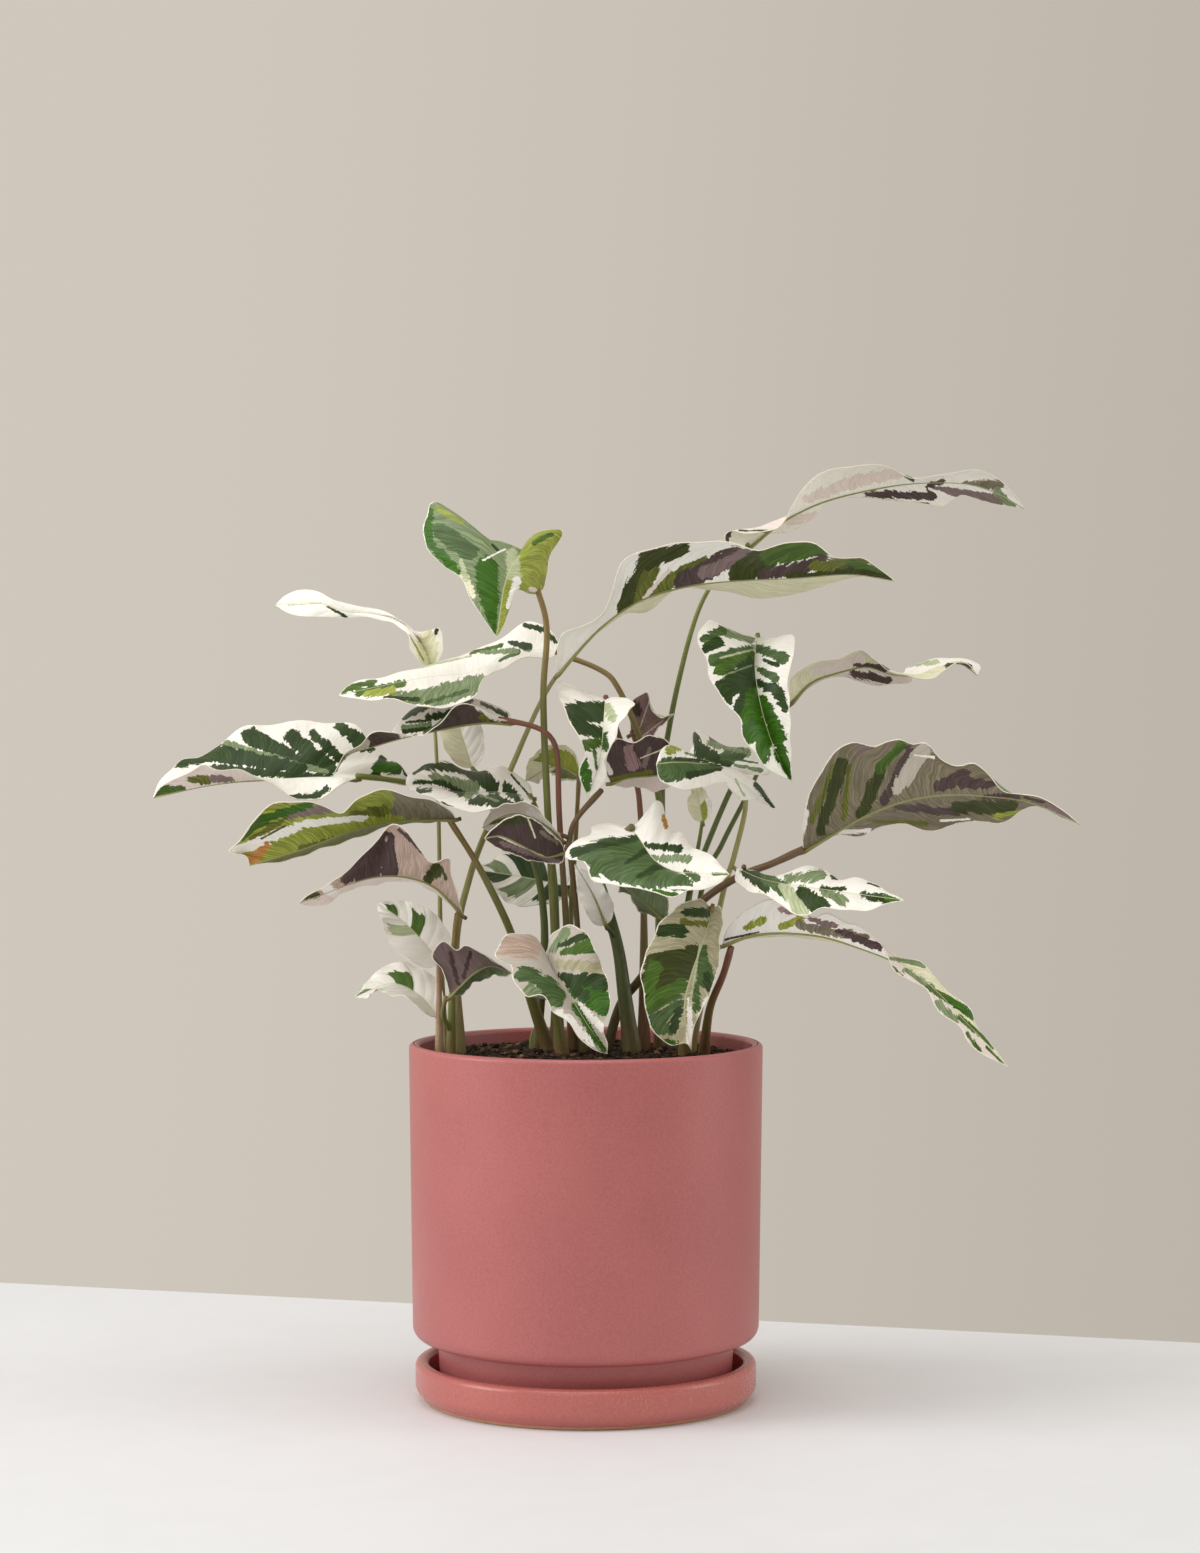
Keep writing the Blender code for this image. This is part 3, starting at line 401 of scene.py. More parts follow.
# ================================================================ leaf stalks
# Petioles: round, juicy and thin, each rising from a clasping sheath to a slightly swollen joint
# under its blade. Olive green to red-brown, with fine lengthwise streaks.
# Each stem: place in the soil (x, y), the points it rises through (x, y, height above the soil),
# and its radius at the foot and at the top.
STEMS = {
    "a": ((-15, 8), [(-18, 8, 75), (-22, 4, 146), (-24, 2, 203), (-22, 0, 240), (-27, -1, 262),
                     (-36, 0, 285)], (2.8, 2.0, 1.6)),
    "b": ((-80, 16), [(-83, 24, 50), (-85, 32, 146), (-88, 34, 202), (-90, 34, 222)], (1.9, 1.2, 1.0)),
    "c": ((42, 36), [(42, 30, 95), (42, 24, 143), (30, 15, 181), (18, 15, 208), (8, 20, 218),
                     (-17, 22, 228)], (2.6, 2.0, 1.5)),
    "d": ((-6, 21), [(-11, 12, 72), (-15, 2, 135), (-16, -5, 168), (-20, -9, 180), (-30, -9, 186),
                     (-49, -8, 190)], (3.2, 1.7, 1.5)),
    "e": ((-28, 35), [(-24, 33, 72), (-34, 28, 118), (-60, 22, 143), (-98, 16, 153),
                      (-130, 4, 158)], (2.6, 2.0, 1.5)),
    "f": ((-22, 24), [(-32, 16, 33), (-43, 6, 70), (-60, -5, 106), (-77, -12, 134)], (3.6, 2.2, 1.6)),
    "g": ((-18, 34), [(-17, 33, 72), (-21, 28, 118), (-32, 14, 147)], (2.6, 1.8, 1.4)),
    "h": ((-1, 12), [(-5, 8, 75), (-8, 0, 106), (-9, -5, 122), (-5, -7, 134), (9, -4, 150)],
          (3.0, 1.6, 1.6)),
    "k": ((33, 26), [(33, 22, 84), (31, 18, 136), (28, 15, 156), (19, 8, 180), (11, 0, 203)],
          (3.2, 1.7, 1.4)),
    "n": ((-71, 8), [(-74, 11, 61), (-66, 20, 101), (-56, 32, 129), (-42, 34, 164), (-24, 20, 203),
                     (-8, 0, 226)], (2.4, 1.8, 1.2)),
    "o": ((48, 46), [(44, 46, 140), (48, 44, 185), (61, 33, 242), (74, 28, 270), (93, 24, 290)],
          (2.4, 1.7, 1.2)),
    "p": ((50, 27), [(59, 22, 89), (68, 20, 115), (82, 22, 148), (97, 18, 178), (101, 11, 210),
                     (97, 2, 238)], (2.8, 1.6, 1.3)),
    "q": ((57, 38), [(66, 34, 89), (78, 30, 118), (92, 26, 146), (108, 24, 180), (117, 21, 202)],
          (2.4, 1.5, 1.0)),
    "r": ((60, 18), [(77, 10, 87), (84, 6, 112), (91, 15, 141), (87, 10, 156), (81, -8, 166)],
          (2.6, 1.6, 1.3)),
    "s": ((26, 10), [(22, 9, 33), (18, 7, 61), (10, 3, 90), (6, -1, 106), (12, -9, 116),
                     (26, -28, 130)], (4.6, 3.2, 2.0)),
    "u": ((12, 24), [(20, 22, 27), (31, 13, 42), (48, 2, 67), (66, -9, 88), (86, -20, 102),
                     (104, -20, 109), (122, -16, 117)], (2.8, 2.3, 2.0)),
    "v": ((67, 6), [(70, -6, 27), (77, -20, 47), (81, -30, 63)], (2.8, 2.2, 1.8)),
    "w": ((56, -4), [(60, -20, 46), (67, -34, 74), (70, -42, 86)], (3.2, 2.0, 1.5)),
    "x": ((-13, -4), [(-18, -10, 30), (-23, -26, 52), (-24, -36, 57)], (3.0, 1.8, 1.5)),
    "z": ((-76, -10), [(-75, -12, 40), (-74, -13, 62), (-72, -15, 81)], (2.2, 1.8, 1.5)),
    "ac": ((-83, 2), [(-83, 1, 30), (-83, -2, 53)], (2.0, 1.6, 1.3)),
    "ad": ((-8, 44), [(-9, 46, 60), (-8, 47, 92), (-6, 42, 122), (-4, 32, 158)], (2.8, 1.6, 1.2)),
}
# The side stalks of a stem: the height above the soil at which each leaves it, and its other points.
BRANCHES = {
    "e": [(118, [(-48, 42, 141), (-66, 46, 162)], (1.4, 1.1))],
    "h": [(122, [(-14, -10, 125)], (1.4, 1.2)), (122, [(-11, -14, 117)], (1.4, 1.2))],
    "k": [(156, [(29, 22, 172), (26, 27, 183)], (1.4, 1.1))],
    "p": [(89, [(64, 12, 118), (66, 5, 132)], (1.5, 1.1))],
    "s": [(66, [(11, -4, 74)], (2.0, 1.2))],
    "u": [(102, [(88, -32, 108)], (1.8, 1.4)), (67, [(44, 0, 77)], (1.6, 1.2))],
    "z": [(12, [(-80, -18, 24), (-78, -24, 35)], (1.5, 1.2))],
    "ac": [(8, [(-84, 5, 21)], (1.5, 1.1))],
    "ad": [(84, [(-12, 50, 93)], (1.3, 1.1))],
}


def smooth_path(points, count):
    """Evenly spaced places and directions on a smooth curve through the points."""
    pts = [Vector(p) for p in points]
    ends = [2 * pts[0] - pts[1], *pts, 2 * pts[-1] - pts[-2]]
    fine = [pts[0]]
    for a, b, c, d in zip(ends, ends[1:], ends[2:], ends[3:]):
        for k in range(1, 13):
            u = k / 12
            fine.append(((2 * b) + (c - a) * u + (2 * a - 5 * b + 4 * c - d) * u ** 2
                         + (3 * b - a - 3 * c + d) * u ** 3) / 2)
    run = [0.0]
    for a, b in zip(fine, fine[1:]):
        run.append(run[-1] + (b - a).length)
    places = []
    at = 0
    for k in range(count):
        want = run[-1] * k / (count - 1)
        while at < len(fine) - 2 and run[at + 1] < want:
            at += 1
        places.append(fine[at].lerp(fine[at + 1], (want - run[at]) / (run[at + 1] - run[at])))
    heads = [(places[min(i + 1, count - 1)] - places[max(i - 1, 0)]).normalized() for i in range(count)]
    return places, heads, run[-1]


def along(values, t):
    """The value at share t of evenly spaced set values."""
    if len(values) == 1:
        return values[0]
    at = min(int(t * (len(values) - 1)), len(values) - 2)
    share = t * (len(values) - 1) - at
    share = share * share * (3 - 2 * share)
    return values[at] + (values[at + 1] - values[at]) * share


def grown(point):
    return Vector((point[0], point[1], SOIL_TOP + point[2]))


def grid(name, columns, rows):
    """A grid primitive with a column and a row number for each vertex, to be laid over a form."""
    alone()
    bpy.ops.mesh.primitive_grid_add(x_subdivisions=columns, y_subdivisions=rows, size=2)
    made = bpy.context.object
    made.name = made.data.name = name
    flat = np.zeros(len(made.data.vertices) * 3)
    made.data.vertices.foreach_get("co", flat)
    flat = flat.reshape(-1, 3)
    column, row = [np.rint((flat[:, k] + 1) / 2 * count).astype(int) for k, count in enumerate((columns, rows))]
    return made, column, row


def lay(made, places, column, row):
    """Moves each grid vertex to its place in an array of rows of columns, in millimetres."""
    made.data.vertices.foreach_set("co", (places[row, column] * MM).ravel())
    made.data.update()


def rolled(name, spine, radii, sides=12):
    """A round stalk: a grid rolled round a spine, its seam merged and its two ends drawn shut."""
    spine = [spine[0] - (spine[1] - spine[0]).normalized() * 0.05, *spine,
             spine[-1] + (spine[-1] - spine[-2]).normalized() * radii[-1] * 0.5]
    radii = [0.0, *radii, 0.0]
    made, column, row = grid(name, sides, len(spine) - 1)
    places = np.zeros((len(spine), sides + 1, 3))
    cross = Vector((0, 1, 0))
    for k, (place, radius) in enumerate(zip(spine, radii)):
        head = (spine[min(k + 1, len(spine) - 1)] - spine[max(k - 1, 0)]).normalized()
        cross = (cross - head * cross.dot(head)).normalized()
        other = head.cross(cross)
        for c in range(sides + 1):
            turn = 2 * pi * (c % sides) / sides
            places[k, c] = place + (cross * cos(turn) + other * sin(turn)) * radius
    lay(made, places, column, row)
    bpy.ops.object.mode_set(mode="EDIT")
    bpy.ops.mesh.select_all(action="SELECT")
    bpy.ops.mesh.remove_doubles(threshold=0.000004)
    bpy.ops.mesh.normals_make_consistent(inside=False)
    bpy.ops.object.mode_set(mode="OBJECT")
    made.data.shade_smooth()
    return made


def joined(first, *others):
    alone()
    for piece in (first, *others):
        piece.select_set(True)
    bpy.context.view_layer.objects.active = first
    if others:
        bpy.ops.object.join()
    return first


def stalk_skin(name, foot, middle, top, change=(0.16, 0.72)):
    """Foot, middle and top colours of a petiole, which run into each other, under fine streaks."""
    made, wire, shader = surface(name)
    u, v, _ = wire.node("UVMap").parts()
    where = wire.place()
    turned = wire.vector((u * 2 * pi).sine() * 2.2, (u * 2 * pi + pi / 2).sine() * 2.2, v * 9)
    streak = wire.noise(turned, 3.0, 3.0, 0.6)
    blotch = wire.noise(where, 70.0, 2.0)
    share = v + (blotch - 0.5) * 0.12
    tone = share.step(change[0] - 0.09, change[0] + 0.09).blend(foot, middle)
    tone = share.step(change[1] - 0.14, change[1] + 0.14).blend(tone, top)
    tone = streak.step(0.35, 0.65).blend(tone, (0.78, 0.74, 0.66), "MULTIPLY")
    rough = streak * 0.2 + 0.34
    return dress(made, shader, tone, rough, wire.bump(streak, 0.00035, 0.6))


STALK_SKINS = {
    "olive": stalk_skin("petiole_olive", paint(132, 112, 72), paint(118, 124, 62), paint(140, 120, 70)),
    "green": stalk_skin("petiole_green", paint(120, 108, 66), paint(96, 112, 52), paint(128, 138, 72)),
    "russet": stalk_skin("petiole_russet", paint(126, 96, 66), paint(122, 108, 66), paint(128, 84, 66),
                         (0.2, 0.55)),
    "dark": stalk_skin("petiole_dark", paint(104, 96, 52), paint(84, 98, 50), paint(110, 106, 62)),
    "pink": stalk_skin("petiole_pink", paint(196, 168, 136), paint(176, 146, 118), paint(170, 132, 108),
                       (0.3, 0.7)),
    "pale": stalk_skin("petiole_pale", paint(150, 140, 92), paint(162, 160, 100), paint(196, 190, 140),
                       (0.15, 0.8)),
    "wine": stalk_skin("petiole_wine", paint(104, 96, 54), paint(106, 96, 58), paint(116, 92, 62),
                       (0.14, 0.5)),
}
STALK_LOOK = {
    "a": "olive", "b": "pale", "c": "olive", "d": "russet", "e": "green", "f": "olive", "g": "green",
    "h": "wine", "k": "russet", "n": "pale", "o": "green", "p": "green", "q": "green", "r": "pale",
    "s": "dark", "u": "wine", "v": "russet", "w": "olive", "x": "olive", "z": "olive", "ac": "pink",
    "ad": "olive",
}
# How far up from the soil each stalk's sheath reaches, where it isn't the usual height.
SHEATH = 14
SHEATHED = {"a": 34, "c": 30, "d": 38, "h": 40, "k": 26, "s": 20, "x": 26, "z": 60, "ac": 46, "ad": 24,
            "g": 30, "n": 40}
SOCKET_DEPTH = 16.0

for key, (base, points, radii) in STEMS.items():
    foot = Vector((*base, SOIL_Z - SOCKET_DEPTH + 6))
    path = [Vector((*base, SOIL_TOP + 2.0)), *[grown(p) for p in points]]
    rise = sum((b - a).length for a, b in zip(path, path[1:]))
    places, _, length = smooth_path(path, max(24, int(rise / 3)))
    spine = [foot, *places]
    girths = []
    for k, place in enumerate(spine):
        share = max(k - 1, 0) / (len(places) - 1)
        up, left = share * length, (1 - share) * length
        wrap = SHEATHED.get(key, SHEATH)
        swell = 1 + 0.26 * max(0, 1 - up / wrap) ** 1.5 + 0.16 * max(0, 1 - abs(left - 7) / 9)
        girths.append(along(radii, share) * swell)
    stalk = rolled("stalk_" + key, spine, girths)
    arms = []
    for k, (height, branch, branch_radii) in enumerate(BRANCHES.get(key, [])):
        start = next(p for p in places if p.z >= grown((0, 0, height)).z)
        arm_places, _, _ = smooth_path([start, *[grown(p) for p in branch]], 16)
        arm_girths = [along(branch_radii, i / 15) * (1 + 0.3 * max(0, 1 - i / 4)) for i in range(16)]
        arms.append(rolled(f"side_stalk_{key}_{k}", arm_places, arm_girths, 10))
    stalk = joined(stalk, *arms)
    stalk.data.materials.clear()
    stalk.data.materials.append(STALK_SKINS[STALK_LOOK[key]])
    settle(stalk, "stem_" + key)

# A new shoot: a tightly rolled young leaf, light green, just out of the soil.
shoot_places, _, _ = smooth_path([(-31, 40, SOIL_Z), (-31.3, 39.8, SOIL_Z + 6), (-31, 40, SOIL_Z + 12)], 14)
shoot = rolled("new_shoot", shoot_places, [1.7 * (1 - (k / 13) ** 2) + 0.25 for k in range(14)], 10)
shoot.data.materials.append(
    stalk_skin("shoot_green", paint(120, 120, 60), paint(132, 150, 62), paint(160, 176, 88)))
settle(shoot, "shoot")

# ================================================================ blades
# Thin, waxy, wavy blades on a raised midrib. White sectors and green ones follow the side veins
# from the midrib to the margin; below, the green shows mauve and the white shows faint rose.
TINTS = {
    "D": paint(44, 68, 24), "M": paint(76, 108, 34), "B": paint(58, 106, 14), "G": paint(134, 152, 116),
    "H": paint(80, 106, 62), "L": paint(196, 206, 170), "W": paint(252, 250, 244), "C": paint(240, 237, 208),
    "Y": paint(160, 170, 70), "O": paint(108, 114, 42), "E": paint(62, 70, 24), "J": paint(186, 180, 152),
    "N": paint(134, 124, 106), "A": paint(200, 192, 182), "P": paint(134, 114, 116), "V": paint(84, 66, 68),
    "Q": paint(170, 136, 146), "R": paint(238, 224, 218), "F": paint(204, 178, 168), "T": paint(198, 138, 70),
}
# What each colour of one side is on the other.
TURNED_OVER = {"D": "V", "M": "P", "B": "P", "G": "A", "H": "P", "L": "A", "W": "R", "C": "C", "Y": "Y",
               "O": "O", "E": "D", "J": "F", "N": "G", "A": "G", "P": "M", "V": "D", "Q": "L", "R": "W",
               "F": "L", "T": "T"}

RIM = 0.5


def blade_skins(key, marks):
    """The skins of a blade's upper side and underside. Each half is a row of colour bands along the
    midrib, which lean with the side veins; over them lie tapering strokes, each from one place to another
    in the plane of height and breadth. A capital names a colour that the upper side shows, and a small
    letter one that the underside shows; the other side then has its counterpart."""
    made, wire, shader = surface("blade_top_" + key)
    inked = []

    def tint(code, over=True):
        return TINTS[code.upper() if code.isupper() == over else TURNED_OVER[code.upper()]]

    def ink(mask, below, code):
        mixed = mask.blend(below, tint(code))
        inked.append((mixed.socket.node.name, [code]))
        return mixed

    u, t, _ = wire.node("UVMap").parts()
    from_rib, from_edge, _ = wire.node("Attribute", {"attribute_name": "span"}, None, 1).parts()
    where = wire.place()
    side = u * 2 - 1
    across = side.size()
    drift = wire.noise(where, 85.0, 2.0)
    q = t - across ** 2 * marks.get("lean", 0.10) + (drift - 0.5) * 0.05
    streak = wire.noise(wire.vector(q * 46, across * 2.2, side), 1.0, 2.0, 0.6)
    jag = (streak - 0.5) * 0.4

    def half(bands):
        stops, codes, start = [], [], 0.0
        for end, code, reach in bands:
            colour = (*tint(code), min(reach / 1.4, 1.0))
            stops += [(min(start + 0.004, 1), colour), (min(max(end - 0.004, start + 0.004), 1), colour)]
            codes += [code, code]
            start = end
        ramp = wire.node("ValToRGB", {"stops": stops}, {0: q})
        inked.append((ramp.socket.node.name, codes))
        return ramp, Wire(ramp.tree, ramp.socket.node.outputs[1]) * 1.4

    left, left_reach = half(marks["left"])
    right, right_reach = half(marks["right"])
    is_left = side.step(-0.01, 0.01)
    tone = is_left.blend(right, left)
    reach = right_reach + (left_reach - right_reach) * is_left
    tone = ink((across + jag - reach).step(-0.015, 0.03), tone, marks.get("edge", "W"))
    veins = wire.noise(wire.vector(q * 150, across * 1.6, side), 1.0, 2.0, 0.65)
    cloud = wire.noise(where, 160.0, 2.0)
    fine = wire.noise(where, 900.0, 2.0)
    x, _, z = where.parts()
    ragged = (streak - 0.5) * 6.5 + (fine - 0.5) * 2.4
    flats = {half_of: wire.vector(x * 1000, z * 1000 - SOIL_TOP, elsewhere) for half_of, elsewhere in
             (("b", 0), ("l", (1 - is_left) * 999), ("r", is_left * 999))}
    for x0, z0, x1, z1, wide_0, wide_1, code, half_of in marks.get("strokes", []):
        run_x, run_z = x1 - x0, z1 - z0
        run = max(run_x ** 2 + run_z ** 2, 0.01)
        start = wire.node("VectorMath", {"operation": "SUBTRACT"}, {0: flats[half_of], 1: (x0, z0, 0)})
        onward = wire.node("VectorMath", {"operation": "DOT_PRODUCT"},
                           {0: start, 1: (run_x / run, run_z / run, 0)}, 1)
        onward = wire.node("Clamp", None, {0: onward})
        reached = wire.node("VectorMath", {"operation": "SCALE"}, {0: (run_x, run_z, 0), 3: onward})
        far = wire.node("VectorMath", {"operation": "DISTANCE"}, {0: start, 1: reached}, 1)
        share = min(1.0, min(wide_0, wide_1) * 0.45)
        rag = wire.sum("MULTIPLY_ADD", ragged, share, far - onward * (wide_1 - wide_0))
        tone = ink(rag.step(wide_0 + 0.22, wide_0 - 0.22), tone, code)
    if "strokes" in marks:
        tone = ink((from_edge + ragged * 0.25 - RIM).step(0.12, -0.12), tone, marks.get("edge", "W"))
    _, leafy, _ = tone.node("SeparateColor", {"mode": "HSV"}, {0: tone}).triple()
    leafy = leafy.step(0.12, 0.5)
    tone = (veins.step(0.58, 0.36) * (leafy * 0.66 + 0.2)).blend(tone, (0.56, 0.60, 0.44), "MULTIPLY")
    tone = (veins.step(0.50, 0.72) * (leafy * 0.55)).blend(tone, (0.98, 1.0, 0.78), "SOFT_LIGHT")
    tone = (cloud.step(0.35, 0.7) * (leafy * 0.4 + 0.05)).blend(tone, (0.72, 0.74, 0.64), "MULTIPLY")
    tone = (from_rib.step(0.6, 0.25) * 0.7).blend(tone, paint(206, 212, 168))
    hem = (from_edge + (cloud - 0.5) * 0.6).step(0.5, 0.2) * 0.6
    tone = hem.blend(tone, paint(236, 236, 212))
    rough = (cloud - 0.5) * 0.14 + 0.44
    wave = (q * (marks.get("ridges", 9) * pi)).sine().size()
    height = wave ** 0.6 * 0.5 + veins * 0.35 + cloud * 0.15
    dress(made, shader, tone, rough, wire.bump(height, 0.0007, 0.55), **{"Specular IOR Level": 0.3})
    below = made.copy()
    below.name = "blade_underside_" + key
    for node_name, codes in inked:
        node = below.node_tree.nodes[node_name]
        if node.type == "VALTORGB":
            for element, code in zip(node.color_ramp.elements, codes):
                element.color = (*tint(code, False), element.color[3])
        else:
            node.inputs[7].default_value = (*tint(codes[0], False), 1.0)
    return made, below


midrib_skin = stalk_skin("midrib_green", paint(128, 118, 66), paint(160, 164, 100), paint(190, 190, 140),
                         (0.1, 0.8))

BLADE_THICK, RIB, TIP_SWEEP, EDGE_HALF = 0.42, 1.15, 50.0, 0.7
RISE, FALL = 0.5, 1.1
DOME, RIDGE = 0.07, 0.22


def outline(t):
    """Share of the full half-width at share t along the midrib: a round base and a drawn-out tip."""
    peak = RISE / (RISE + FALL)
    return max((t / peak) ** RISE * (max(1 - t, 0) / (1 - peak)) ** FALL, 0)


def margin(base, points, tip):
    """A blade's margin, through its set points, starting and ending just beside the midrib's ends."""
    first, final = grown(points[0]), grown(points[-1])
    start = base + (first - base).normalized() * 0.8
    end = tip + (final - tip).normalized() * 0.25
    pts = [start, *[grown(p) for p in points], end]
    return smooth_path([(p.x, p.y, p.z) for p in pts], 97)[0]


def blade(key, spec, marks, rows=96, half_columns=16):
    """A grid laid over a midrib and its two halves, given its thickness, with the midrib below it."""
    places, heads, _ = smooth_path([grown(p) for p in spec["mid"]], 25)
    last = len(places) - 1
    made, column, row = grid("blade_" + key, 2 * half_columns, rows)
    laid = np.zeros((rows + 1, 2 * half_columns + 1, 3))
    span = np.zeros((rows + 1, 2 * half_columns + 1, 3))
    ribs = []
    seed = sum(ord(c) * (k + 1) for k, c in enumerate(key))
    drawn = "left_edge" in spec
    amount, beats = (0.7, 3.0) if drawn else (2.0, 2.0)
    ruffle, ruffles = (0.5, 7.0) if drawn else (0.7, 6.0)
    margins = [margin(places[0], spec[side], places[-1])
               for side in ("left_edge", "right_edge") if drawn]
    for r in range(rows + 1):
        t = (1 - cos(pi * r / rows)) / 2
        at = min(int(t * last), last - 1)
        middle = places[at].lerp(places[at + 1], t * last - at)
        ahead = heads[at].lerp(heads[at + 1], t * last - at).normalized()
        front = (Vector((0, -1, 0)) + ahead * ahead.y).normalized()
        beside = front.cross(ahead)
        rib_up = Vector()
        for c in range(2 * half_columns + 1):
            s = c / half_columns - 1
            across = abs(s)
            beat = 0.0 if s >= 0 else 1.9
            wobble = 1 + 0.02 * sin(23 * t + seed + 2 * beat) + 0.014 * sin(51 * t + seed * 3)
            if drawn:
                path = margins[0] if s >= 0 else margins[1]
                step = t * (len(path) - 1)
                near = min(int(step), len(path) - 2)
                outward = path[near].lerp(path[near + 1], step - near) - middle
                reach = outward.length * wobble
                outward = spread = outward.normalized()
            else:
                turn = radians(along(spec["left" if s >= 0 else "right"], t))
                swing = radians(spec["lobe"] + (TIP_SWEEP - spec["lobe"]) * t ** 0.5)
                reach = spec["half"] * outline(t) * wobble + EDGE_HALF * (1 - 0.75 * t)
                outward = front * cos(turn) + beside * sin(turn)
                spread = outward * cos(swing) + ahead * sin(swing)
            upward = (outward.cross(ahead) if s < 0 else ahead.cross(outward)).normalized()
            calm = max(sin(pi * t), 0) ** 0.5
            ripple = amount * across ** 2 * sin(2 * pi * beats * t + beat) * calm
            ripple += ruffle * across ** 3 * sin(2 * pi * ruffles * t + beat * 2 + seed) * calm
            ridge = abs(sin(pi * marks.get("ridges", 9) * (t - 0.1 * across ** 2)))
            ripple += RIDGE * min(reach / 8, 1) * ridge * sin(pi * min(across * 1.1, 1))
            if drawn:
                ripple += DOME * reach * 4 * across * (1 - across)
            laid[r, c] = middle + spread * reach * across + upward * ripple
            span[r, c] = (reach * across, reach * (1 - across), 0)
            if c in (half_columns - 3, half_columns + 3):
                rib_up += upward
        ribs.append((middle, rib_up.normalized() if rib_up.length > 0.1 else Vector((0, 0, 1)), t))
    lay(made, laid, column, row)
    loops = np.zeros(len(made.data.loops), int)
    made.data.loops.foreach_get("vertex_index", loops)
    shares = (1 - np.cos(pi * row / rows)) / 2
    uv = np.stack([column[loops] / (2 * half_columns), shares[loops]], 1)
    made.data.uv_layers[0].data.foreach_set("uv", uv.ravel())
    mark = made.data.attributes.new("span", "FLOAT_VECTOR", "POINT")
    mark.data.foreach_set("vector", span[row, column].ravel())
    above, below = blade_skins(key, marks)
    made.data.materials.append(below)
    made.data.materials.append(above)
    made.data.materials.append(midrib_skin)
    skin = made.modifiers.new("thickness", "SOLIDIFY")
    skin.thickness, skin.offset, skin.material_offset = BLADE_THICK * MM, 0.0, 1
    alone()
    made.select_set(True)
    bpy.context.view_layer.objects.active = made
    bpy.ops.object.modifier_apply(modifier="thickness")
    bpy.ops.object.shade_smooth_by_angle(angle=radians(50))
    spine = [places[0] - heads[0] * 3.0]
    radii = [RIB]
    for middle, up, t in ribs[3:-3:2]:
        thick = max(RIB * (1 - t) ** 0.9 * (0.62 + 0.38 * max(0, 1 - t * 6)), 0.22)
        spine.append(middle - up * thick * 0.8)
        radii.append(thick)
    rib = rolled("rib_" + key, spine, radii, 8)
    rib.data.materials.append(midrib_skin)
    return joined(made, rib)


